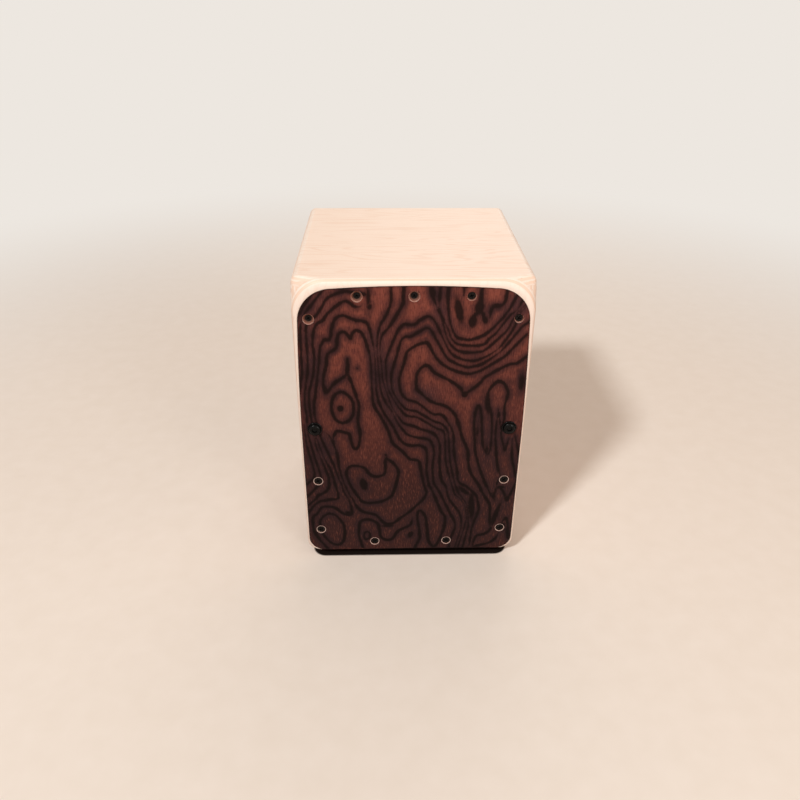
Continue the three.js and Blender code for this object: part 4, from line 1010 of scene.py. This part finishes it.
def make_back():
    """The back panel with its rounded edge and its sound hole."""
    rings = [ring_at(BACK_Y - BACK, station(BLEND_END, 0)[:, [0, 2]])] + back_stations(BACK_EDGE_STATIONS)
    profile = [(SOUND_HOLE, BACK_Y - BACK)]
    for angle in np.linspace(0, QUARTER, HOLE_EDGE_STATIONS):
        profile.append((SOUND_HOLE + SOUND_HOLE_ROUNDING * (1 - math.cos(angle)),
                        BACK_Y - SOUND_HOLE_ROUNDING * (1 - math.sin(angle))))
    bm = sheet_with_holes(rings, [(0, FLOOR_Z + BOX_HEIGHT / 2, profile, SOUND_HOLE_SIDES)])
    seat(finish_mesh("back_wall", bm, back_ply), "birch_ply", "back_panel")


def make_frames():
    """Pine battens and the snare rail keep their solids, and the brass inserts keep theirs."""
    finishes = {"snare_rail": pine_level, "snare_insert_left": brass, "snare_insert_right": brass}
    for place in ("front", "back"):
        for side, wood in (("left", pine_upright), ("right", pine_upright), ("top", pine_level),
                           ("bottom", pine_level)):
            finishes[f"{place}_batten_{side}"] = wood
    for name, material in finishes.items():
        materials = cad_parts[name].data.materials
        materials.clear()
        materials.append(material)


# Hardware ------------------------------------------------------------------------------------

SCREW_LENGTH, BOLT_LENGTH, FOOT_SCREW_Z = 11.5, 23.15, 2.1
FACING_FRONT = Matrix.Rotation(math.pi / 2, 4, "X")
FACING_DOWN = Matrix.Rotation(math.pi, 4, "X")
# Sides of a turned screw, bolt and foot, of a turn of coiled wire, and of the wire itself, which has few
# because there are a thousand turns
SCREW_TURN, BOLT_TURN, FOOT_TURN, COIL_SIDES, WIRE_SIDES = 32, 48, 56, 10, 5


def rounded(radius, height, centre_radius, centre_height, start, end, steps=6):
    """Points of a profile round a corner, as radius and height, with angles in degrees."""
    turns = np.radians(np.linspace(start, end, steps + 1))
    return [(centre_radius + radius * math.cos(t), centre_height + height * math.sin(t)) for t in turns]


def cross_outline(reach, half):
    """A cross recess seen from above, with its arms' ends and inner corners taken off."""
    arm = [(reach - half * 0.5, -half), (reach, -half * 0.4), (reach, half * 0.4), (reach - half * 0.5, half),
           (half * 1.5, half), (half, half * 1.5)]
    return [(x * c - y * s, x * s + y * c) for c, s in ((1, 0), (0, 1), (-1, 0), (0, -1)) for x, y in arm]


def hex_outline(radius):
    """A hexagon socket seen from above, with a point in the middle of each side."""
    corners = circle(0, 0, radius, 6)
    return [a + (b - a) * t for a, b in zip(corners, np.roll(corners, -1, 0)) for t in (0, 0.5)]


def turned(bm, profile, sides):
    """Rings of a lathe profile given as radius and height. A radius of zero closes an end."""
    rings = []
    for radius, height in profile:
        if radius == 0:
            rings.append([bm.verts.new((0, 0, height))])
        else:
            rings.append([bm.verts.new((x, y, height)) for x, y in circle(0, 0, radius, sides)])
    for low, high in zip(rings, rings[1:]):
        for i in range(sides):
            j = (i + 1) % sides
            corners = [low[i % len(low)], low[j % len(low)], high[j % len(high)], high[i % len(high)]]
            face = list(dict.fromkeys(corners))
            if len(face) > 2:
                bm.faces.new(face)
    return rings[-1]


# Down a recess: the share of its width left at each share of its depth, and how far its flat floor lies
RECESS_WALL = [(1.0, 0.0), (0.97, 0.06), (0.9, 0.45), (0.8, 0.8)]
RECESS_FLOOR = 0.92


def fastener(profile, sides, recess, depth, facing, floor=0.55):
    """A turned screw or bolt whose flat top has a recess, as a mesh in metres about its own origin."""
    bm = bmesh.new()
    rim = [vertex.co.xy for vertex in turned(bm, profile, sides)]
    top, count = profile[-1][1], len(recess)
    edges = loop_edges(0, sides) + loop_edges(sides, count)
    flat, _, faces, *_ = delaunay_2d_cdt(rim + [Vector(p) for p in recess], edges, [], 1, TINY)
    here, following = np.array(recess), np.roll(recess, -1, 0)
    verts = [bm.verts.new((p[0], p[1], top)) for p in flat]
    for face in faces:
        # a face whose middle lies inside the recess is left out: a line from it crosses the outline oddly
        x, y = np.mean([flat[i] for i in face], 0)
        crossing = (here[:, 1] > y) != (following[:, 1] > y)
        near, far = here[crossing], following[crossing]
        meets = (far[:, 0] - near[:, 0]) * (y - near[:, 1]) / (far[:, 1] - near[:, 1]) + near[:, 0]
        if np.sum(x < meets) % 2 == 0:
            bm.faces.new([verts[i] for i in face])
    rings = [[bm.verts.new((x * share, y * share, top - depth * drop)) for x, y in recess]
             for share, drop in RECESS_WALL + [(floor, RECESS_FLOOR)]]
    tip = bm.verts.new((0, 0, top - depth))
    for i, j in loop_edges(0, count):
        for high, low in zip(rings, rings[1:]):
            bm.faces.new((high[i], high[j], low[j], low[i]))
        bm.faces.new((rings[-1][i], rings[-1][j], tip))
    return pattern(bm, facing)


def pattern(bm, facing):
    """A mesh in metres to be set out by a node tree."""
    merge(bm)
    for vertex in [v for v in bm.verts if not v.link_faces]:
        bm.verts.remove(vertex)
    bmesh.ops.recalc_face_normals(bm, faces=bm.faces)
    bmesh.ops.transform(bm, matrix=Matrix.Scale(MM, 4) @ facing, verts=bm.verts)
    mesh = bpy.data.meshes.new("pattern")
    bm.to_mesh(mesh)
    bm.free()
    return put_in_scene("pattern", mesh)


def threaded(root, crest, start, end, pitch):
    """A thread drawn as ridges along a shank, from the tip towards the head's side."""
    profile = []
    for height in np.arange(end, start - pitch / 2, pitch):
        profile += [(root, height), (crest, height + pitch * 0.35), (crest, height + pitch * 0.45),
                    (root, height + pitch * 0.8)]
    return profile


def new_tree(name, sizes):
    """A geometry tree with named inputs, each a name, a kind of socket and a value."""
    tree = bpy.data.node_groups.new(name, "GeometryNodeTree")
    tree.interface.new_socket("Geometry", in_out="INPUT", socket_type="NodeSocketGeometry")
    for size, kind, value in sizes:
        socket = tree.interface.new_socket(size, in_out="INPUT", socket_type="NodeSocket" + kind)
        if value is not None:
            socket.default_value = value
    tree.interface.new_socket("Geometry", in_out="OUTPUT", socket_type="NodeSocketGeometry")
    return tree, add(tree, "NodeGroupInput").outputs


def end_tree(tree, shapes, finish):
    """Makes the shapes real and gives them their finish, because the export drops instances."""
    solid = add(tree, "GeometryNodeRealizeInstances", {0: shapes})
    finished = add(tree, "GeometryNodeSetMaterial", {"Geometry": solid, "Material": finish})
    add(tree, "NodeGroupOutput", {0: finished})
    return tree


def grown(name, points, tree, sizes, smooth_angle=35):
    """The plain mesh that a tree makes from some points, with the tree's inputs set."""
    mesh = bpy.data.meshes.new(name)
    mesh.from_pydata([tuple(np.array(p) * MM) for p in points], [], [])
    made = put_in_scene(name, mesh)
    modifier = made.modifiers.new("tree", "NODES")
    modifier.node_group = tree
    for item in tree.interface.items_tree:
        if item.in_out == "INPUT" and item.name in sizes:
            modifier[item.identifier] = sizes[item.name]
    result = bpy.data.meshes.new_from_object(made.evaluated_get(bpy.context.evaluated_depsgraph_get()))
    made.modifiers.clear()
    made.data = result
    result.name = name
    result.shade_smooth()
    result.set_sharp_from_angle(angle=math.radians(smooth_angle))
    bpy.data.meshes.remove(mesh)
    return made


def setting_out_tree():
    """Sets one pattern at every point, each turned at random about the way it faces."""
    tree, given = new_tree("fasteners set out", [
        ("Pattern", "Object", None), ("Size", "Float", 1.0), ("Axis", "Vector", (0.0, 1.0, 0.0)),
        ("Turn", "Float", math.pi), ("Seed", "Int", 1), ("Finish", "Material", None)])
    shape = add(tree, "GeometryNodeObjectInfo", {"Object": given["Pattern"]})
    turn = add(tree, "FunctionNodeRandomValue", {"Max": given["Turn"], "Seed": given["Seed"]})
    rotation = add(tree, "FunctionNodeAxisAngleToRotation", {"Axis": given["Axis"], "Angle": turn.outputs[1]})
    placed = add(tree, "GeometryNodeInstanceOnPoints", {
        "Points": given["Geometry"], "Instance": shape.outputs["Geometry"],
        "Rotation": rotation, "Scale": given["Size"]})
    return end_tree(tree, placed, given["Finish"])


def strand_tree():
    """Wound snare strands side by side, each a spring of round wire that leans from one bar to the other."""
    tree, given = new_tree("snare strands", [
        ("Coil Radius", "Float", 0.0008), ("Wire Radius", "Float", 0.0002), ("Turns", "Float", 80.0),
        ("Length", "Float", 0.08), ("Lean", "Float", 0.0), ("Strands", "Int", 8), ("Pitch", "Float", 0.0044),
        ("Finish", "Material", None)])
    coil = add(tree, "GeometryNodeCurveSpiral", {
        "Resolution": COIL_SIDES, "Rotations": given["Turns"], "Start Radius": given["Coil Radius"],
        "End Radius": given["Coil Radius"], "Height": given["Length"]})
    wire = add(tree, "GeometryNodeCurvePrimitiveCircle", {
        "Resolution": WIRE_SIDES, "Radius": given["Wire Radius"]})
    spring = add(tree, "GeometryNodeCurveToMesh", {"Curve": coil, "Profile Curve": wire, "Fill Caps": True})
    step = add(tree, "ShaderNodeCombineXYZ", {0: given["Pitch"]})
    row = add(tree, "GeometryNodeMeshLine", {"Count": given["Strands"], "Offset": step})
    rows = add(tree, "GeometryNodeInstanceOnPoints", {"Points": given["Geometry"], "Instance": row})
    rows = add(tree, "GeometryNodeRealizeInstances", {0: rows})
    lean = add(tree, "FunctionNodeAxisAngleToRotation", {"Axis": (1.0, 0.0, 0.0), "Angle": given["Lean"]})
    placed = add(tree, "GeometryNodeInstanceOnPoints", {"Points": rows, "Instance": spring, "Rotation": lean})
    return end_tree(tree, placed, given["Finish"])


setting_out = setting_out_tree()


def wood_screw(head):
    """Countersunk cross-recessed wood screw with the top of its head at height zero."""
    profile = [(0, -SCREW_LENGTH), (0.5, -SCREW_LENGTH + 0.9)]
    profile += threaded(1.1, SHANK, -4.0, -SCREW_LENGTH + 1.6, 1.0)
    profile += [(1.15, -head + 0.9), (SHANK, -head + SHANK), (head - 0.12, -0.3), (head, -0.16),
                (head, -0.08), (head - 0.08, 0)]
    return fastener(profile, SCREW_TURN, cross_outline(head * 0.6, head * 0.15), 1.5, FACING_FRONT)


def round_head_screw(head, height, length, facing):
    """Pan-head wood screw with the underside of its head at height zero."""
    profile = [(0, -length), (0.5, -length + 0.8)]
    profile += threaded(0.85, 1.15, -1.0, -length + 1.4, 0.9)
    profile += [(1.15, -0.4), (1.15, 0), (head - 0.12, 0), (head, 0.12), (head, height * 0.4)]
    profile += rounded(head * 0.32, height * 0.6, head * 0.68, height * 0.4, 15, 90)
    return fastener(profile, SCREW_TURN, cross_outline(head * 0.58, head * 0.15), height * 0.75, facing)


def rail_bolt():
    """Black socket bolt with a flange: the flange's edge rounded, a groove, then a low dome."""
    rim, high, socket = BOLT_HEAD["radius"], BOLT_HEAD["height"], BOLT_HEAD["socket"]
    flat = socket * 1.1
    profile = [(0, -BOLT_LENGTH), (BOLT_SHANK - 0.4, -BOLT_LENGTH), (BOLT_SHANK - 0.1, -BOLT_LENGTH + 0.4)]
    profile += threaded(BOLT_SHANK - 0.35, BOLT_SHANK, -14.0, -BOLT_LENGTH + 0.8, 0.7)
    profile += [(BOLT_SHANK, -12), (BOLT_SHANK, 0), (rim - 0.25, 0)]
    profile += rounded(0.25, 0.25, rim - 0.25, 0.25, -90, 0, 3)
    profile += rounded(0.35, 0.4, rim - 0.35, 0.55, 0, 90, 5)
    profile += [(rim - 0.75, 0.88), (rim - 0.95, 0.8), (rim - 1.05, 0.95), (rim - 1.08, 1.15)]
    profile += rounded(rim - 1.1 - flat, high - 1.25, flat, 1.25, 8, 84, 9)
    profile += [(flat, high)]
    return fastener(profile, BOLT_TURN, hex_outline(socket), BOLT_HEAD["depth"], FACING_FRONT, floor=0.4)


def rubber_foot():
    """Round rubber foot, wider at the top, with rounded edges and a sunk screw hole."""
    high = FLOOR_Z - GLUE_LINE
    profile = [(1.5, high), (6.2, high)]
    profile += rounded(0.3, 0.3, 6.2, high - 0.3, 90, 5, 4)
    profile += [(6.4, high - 1.3), (6.15, 2.2), (5.85, 1.1)]
    profile += rounded(0.6, 0.6, 5.1, 0.6, -8, -90, 6)
    profile += rounded(0.35, 0.35, 3.55, 0.35, -90, -180, 4)
    profile += [(3.2, 2.1), (3.0, 2.35), (2.8, 2.4), (1.5, 2.4), (1.5, high)]
    bm = bmesh.new()
    turned(bm, profile, FOOT_TURN)
    return pattern(bm, Matrix.Identity(4))


def set_out(name, shape, places, slot, nodes, sizes):
    """Sets a pattern out at its places, for the nodes that it replaces."""
    made = grown(name, places, setting_out, dict(sizes, Pattern=shape))
    bpy.data.objects.remove(shape)
    seat(made, slot, *nodes)


def make_hardware():
    """Screws, bolts and feet, each group set out by the same tree."""
    for group, kind in (("upper", UPPER_SCREW), ("tight", TIGHT_SCREW), ("lower", LOWER_SCREW)):
        mine = [s for s in screws if s["kind"] is kind]
        places = [(s["x"], FACE_Y + kind["top"], s["z"]) for s in mine]
        set_out("plate_screws_" + group, wood_screw(kind["head"]), places, "black_steel",
                [s["node"] for s in mine], {"Seed": 3, "Finish": screw_steel})
    set_out("rail_bolts", rail_bolt(), [(b.x, FACE_Y - FIT, b.z) for b in bolts], "black_steel",
            bolt_nodes, {"Seed": 5, "Finish": bolt_steel})
    upright = (0.0, 0.0, 1.0)
    feet = [name for name in nodes_named("foot_") if "screw" not in name]
    spots = [middle_of(name) for name in feet]
    set_out("rubber_feet", rubber_foot(), [(p.x, p.y, 0) for p in spots], "rubber",
            feet, {"Axis": upright, "Seed": 2, "Finish": rubber})
    set_out("foot_screws", round_head_screw(2.6, 1.2, 6.0, FACING_DOWN),
            [(p.x, p.y, FOOT_SCREW_Z) for p in spots], "black_steel",
            [name.replace("foot_", "foot_screw_") for name in feet],
            {"Axis": upright, "Seed": 8, "Finish": screw_steel})
    snare_screws = nodes_named("snare_screw_")
    spots = [middle_of(name) for name in snare_screws]
    set_out("snare_screws", round_head_screw(2.4, 1.3, 7.0, FACING_FRONT),
            [(p.x, CLAMP_Y - FIT, p.z) for p in spots], "black_steel",
            snare_screws, {"Seed": 6, "Finish": screw_steel})


# The snares' bars: thickness, rolled edge, half lengths, half height of the clamp, height of the free bar,
# and how far that bar lies below the top batten
BAR, BAR_EDGE, CLAMP_HALF, FREE_HALF, CLAMP_RISE, FREE_HEIGHT = 1.2, 0.25, 22.4, 17.4, 4.5, 5.0
BATTEN, FREE_DROP = 9.4, 8.0
CLAMP_CORNER, FREE_CORNER, BAR_CORNER_STEPS = 1.5, 1.0, 6
SNARE_X, EAR_HOLE, EAR_INSET, EAR_SIDES = 27.0, 1.5, 3.5, 28
# and the strands: how many, their spacing, coil, wire, the rise of a turn, how deep they sit in the bars,
# and how high above the rail's bolts they start
STRANDS, STRAND_PITCH, COIL, WIRE, TURN_RISE, STRAND_SEAT, STRAND_START = 8, 4.4, 0.78, 0.2, 1.1, 0.7, 1.5
STRAND_SMOOTH = 80
CLAMP_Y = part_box("snare_set_left")[1].y / MM - BAR


def plate_bar(name, x, half, bottom, top, y, corner, holes):
    """A pressed steel bar across the strands: rounded corners, edges rolled over, round screw holes."""
    rings = []
    for inset, depth in ((BAR_EDGE, 0), (BAR_EDGE * 0.3, BAR_EDGE * 0.3), (0, BAR_EDGE), (0, BAR - BAR_EDGE),
                         (BAR_EDGE * 0.3, BAR - BAR_EDGE * 0.3), (BAR_EDGE, BAR)):
        right, left = x + half - inset - corner, x - half + inset + corner
        high, low = top - inset - corner, bottom + inset + corner
        turns = ((right, low, -1), (right, high, 0), (left, high, 1), (left, low, 2))
        flat = np.concatenate([arc(*middle, corner, turn * QUARTER, (turn + 1) * QUARTER, BAR_CORNER_STEPS)
                               for *middle, turn in turns])
        rings.append(ring_at(y + depth, flat))
    wall = [(EAR_HOLE + BAR_EDGE, y), (EAR_HOLE, y + BAR_EDGE), (EAR_HOLE, y + BAR)]
    cuts = [(hole_x, (bottom + top) / 2, wall, EAR_SIDES) for hole_x in holes]
    seat(finish_mesh(name, sheet_with_holes(rings, cuts), wire_steel), "wire_steel")


def make_snares():
    """Each set: a clamp bar with ears on the rail, eight wound strands, and a free bar against the plate."""
    tree = strand_tree()
    bolt_z = bolts[0].z
    free_top = TOP_Z - PANEL - GLUE_LINE - BATTEN - FREE_DROP
    free_y = BOX_FRONT_Y + FIT
    start = np.array([0, CLAMP_Y - STRAND_SEAT, bolt_z + STRAND_START])
    end = np.array([0, free_y + BAR + STRAND_SEAT, free_top - FREE_HEIGHT / 3])
    length = np.linalg.norm(end - start)
    sizes = {"Coil Radius": COIL * MM, "Wire Radius": WIRE * MM, "Turns": length / TURN_RISE,
             "Length": length * MM, "Lean": math.atan2(start[1] - end[1], end[2] - start[2]),
             "Strands": STRANDS, "Pitch": STRAND_PITCH * MM, "Finish": wire_steel}
    for side, sign in (("left", -1), ("right", 1)):
        x = sign * SNARE_X
        ears = [x - CLAMP_HALF + EAR_INSET, x + CLAMP_HALF - EAR_INSET]
        plate_bar(f"snare_clamp_{side}", x, CLAMP_HALF, bolt_z - CLAMP_RISE, bolt_z + CLAMP_RISE, CLAMP_Y,
                  CLAMP_CORNER, ears)
        plate_bar(f"snare_free_bar_{side}", x, FREE_HALF, free_top - FREE_HEIGHT, free_top, free_y,
                  FREE_CORNER, [])
        first = (x - STRAND_PITCH * (STRANDS - 1) / 2, start[1], start[2])
        strands = grown(f"snare_strands_{side}", [first], tree, sizes, STRAND_SMOOTH)
        seat(strands, "wire_steel", f"snare_set_{side}")


make_veneer()
make_core()
make_walls()
make_back()
make_frames()
make_hardware()
make_snares()


# Stage --------------------------------------------------------------------------------------

PAPER, PAPER_GRAIN, PAPER_FAR = "#EFEAE4", "#E9E3DB", "#EDE7E0"
# The paper's near-black under the drum is a painted contact shadow; SHADE_X, SHADE_Y, SHADE_CORNER and
# SHADE_FORWARD give its half sizes, corner and forward shift in millimetres
PAPER_BOUNCE, PAPER_PAINTED_SHADOW, ROOM_GLOW = "#8C5E46", "#1D1816", "#F4D5BD"
SHADE_X, SHADE_Y, SHADE_CORNER, SHADE_FORWARD = 74.0, DEPTH / 2 - 1.0, 10.0, 2.1
FLOOR_RADIUS_M, FLOOR_SIDES = 4.0, 96
# Each lamp in metres and watts: name, place, size, power and tint. All point at the middle of the drum.
LAMPS = [("key", (-1.06, -1.42, 1.82), 0.3, 35.5, (1.0, 0.99, 0.965)),
         ("front", (0.85, -1.25, 0.4), 0.6, 7.5, (1.0, 0.93, 0.87)),
         ("fill", (0.95, -0.35, 1.15), 0.8, 1.6, (1.0, 0.82, 0.69)),
         ("back", (0.2, 0.9, 0.8), 0.7, 2.2, (1.0, 0.96, 0.92))]
LAMP_TARGET = Vector((0, 0, 0.12))
# The camera, fitted to the drum's edges and screws: lens for a sensor 36 mm wide, its place, and the ways
# that it calls right, down and ahead
CAMERA_LENS, CAMERA_SENSOR, CAMERA_NEAR_M = 32.83, 36.0, 0.01
CAMERA_PLACE = (-19.49, -503.53, 382.9)
CAMERA_RIGHT = (0.99972789, -0.0226927, 0.00540228)
CAMERA_DOWN = (-0.0067342, -0.50249362, -0.86455469)
CAMERA_AHEAD = (0.02233369, 0.86428305, -0.50250971)


def seen_rays(tree):
    """1 for what the camera, a gloss or a glass sees straight away, 0 for light on its way to a surface."""
    path = add(tree, "ShaderNodeLightPath").outputs
    seen = add(tree, MATH, {0: path["Is Camera Ray"], 1: path["Is Glossy Ray"]}, operation="MAXIMUM")
    return add(tree, MATH, {0: seen, 1: path["Is Transmission Ray"]}, operation="MAXIMUM")


def paper():
    """Matt backdrop paper.

    It gives the eye an even pale ground with a faint grain of 16 mm that runs out into the background,
    and under the drum it is nearly black, a painted contact shadow for the gap between the feet.
    """
    made, tree, place = new_material("matt backdrop paper")
    grain = add(tree, NOISE, {"Vector": place, "Scale": 1 / (16 * MM), "Detail": 2.0})
    tone = add(tree, MIX, {0: grain, 6: colour(PAPER), 7: colour(PAPER_GRAIN)}, data_type="RGBA")
    middle = (0.0, ((FACE_Y + BACK_Y) / 2 - SHADE_FORWARD) * MM, 0.0)
    core = ((SHADE_X - SHADE_CORNER) * MM, (SHADE_Y - SHADE_CORNER) * MM, 0.0)
    past = place
    for operation, inputs in (("SUBTRACT", {1: middle}), ("ABSOLUTE", {}), ("SUBTRACT", {1: core}),
                              ("MAXIMUM", {1: (0.0, 0.0, 0.0)}), ("LENGTH", {})):
        past = add(tree, "ShaderNodeVectorMath", {0: past, **inputs}, operation=operation)
    # painted contact shadow: within the drum's footprint the paper turns nearly black
    under = add(tree, RANGE, {
        0: past, 1: (SHADE_CORNER - 1.0) * MM, 2: (SHADE_CORNER + 0.6) * MM, 3: 1.0, 4: 0.0},
        interpolation_type="SMOOTHSTEP")
    tone = add(tree, MIX, {0: under, 6: tone, 7: colour(PAPER_PAINTED_SHADOW)}, data_type="RGBA")
    # the paper sends less light back up than it shows, as the dark boards under the real drum do
    seen = seen_rays(tree)
    tone = add(tree, MIX, {0: seen, 6: colour(PAPER_BOUNCE), 7: tone}, data_type="RGBA")
    matt = add(tree, "ShaderNodeBsdfPrincipled", {
        "Base Color": tone, "Roughness": 0.9, "Specular IOR Level": 0.0})
    away = add(tree, "ShaderNodeVectorMath", {0: place}, operation="LENGTH")
    far = add(tree, RANGE, {0: away, 1: 0.3, 2: 1.1}, interpolation_type="SMOOTHSTEP")
    shown = add(tree, MATH, {0: far, 1: seen}, operation="MULTIPLY")
    plain = add(tree, "ShaderNodeEmission", {"Color": colour(PAPER_FAR), "Strength": 1.0})
    mix = add(tree, "ShaderNodeMixShader", {0: shown, 1: matt, 2: plain})
    add(tree, "ShaderNodeOutputMaterial", {"Surface": mix})
    return made


def make_floor():
    """The paper floor."""
    bm = bmesh.new()
    bmesh.ops.create_circle(bm, cap_ends=True, cap_tris=False, segments=FLOOR_SIDES, radius=FLOOR_RADIUS_M)
    finish_mesh("floor", bm, paper(), scale=1.0)


def make_light(name, place, size, power, tint):
    """A round soft lamp."""
    data = bpy.data.lights.new(name, "AREA")
    data.shape = "DISK"
    data.size = size
    data.energy = power
    data.color = tint
    made = put_in_scene(name, data)
    made.location = place
    made.rotation_euler = (LAMP_TARGET - Vector(place)).to_track_quat("-Z", "Y").to_euler()


def make_world():
    """Warm light from all round, behind a plain pale background."""
    world = bpy.data.worlds.new("studio")
    bpy.context.scene.world = world
    world.use_nodes = True
    tree = world.node_tree
    tree.nodes.clear()
    glow = add(tree, "ShaderNodeBackground", {"Color": colour(ROOM_GLOW), "Strength": 0.42})
    plain = add(tree, "ShaderNodeBackground", {"Color": colour(PAPER_FAR), "Strength": 1.0})
    mix = add(tree, "ShaderNodeMixShader", {0: seen_rays(tree), 1: glow, 2: plain})
    add(tree, "ShaderNodeOutputWorld", {"Surface": mix})


def make_camera():
    """The camera at the photo's viewing angle."""
    data = bpy.data.cameras.new("camera")
    data.sensor_width = CAMERA_SENSOR
    data.lens = CAMERA_LENS
    data.clip_start = CAMERA_NEAR_M
    made = put_in_scene("camera", data)
    ways = Matrix((CAMERA_RIGHT, -Vector(CAMERA_DOWN), -Vector(CAMERA_AHEAD)))
    made.matrix_world = Matrix.Translation(Vector(CAMERA_PLACE) * MM) @ ways.transposed().to_4x4()
    bpy.context.scene.camera = made


make_floor()
make_world()
for lamp in LAMPS:
    make_light(*lamp)
make_camera()

bpy.context.scene.view_settings.view_transform = "Standard"
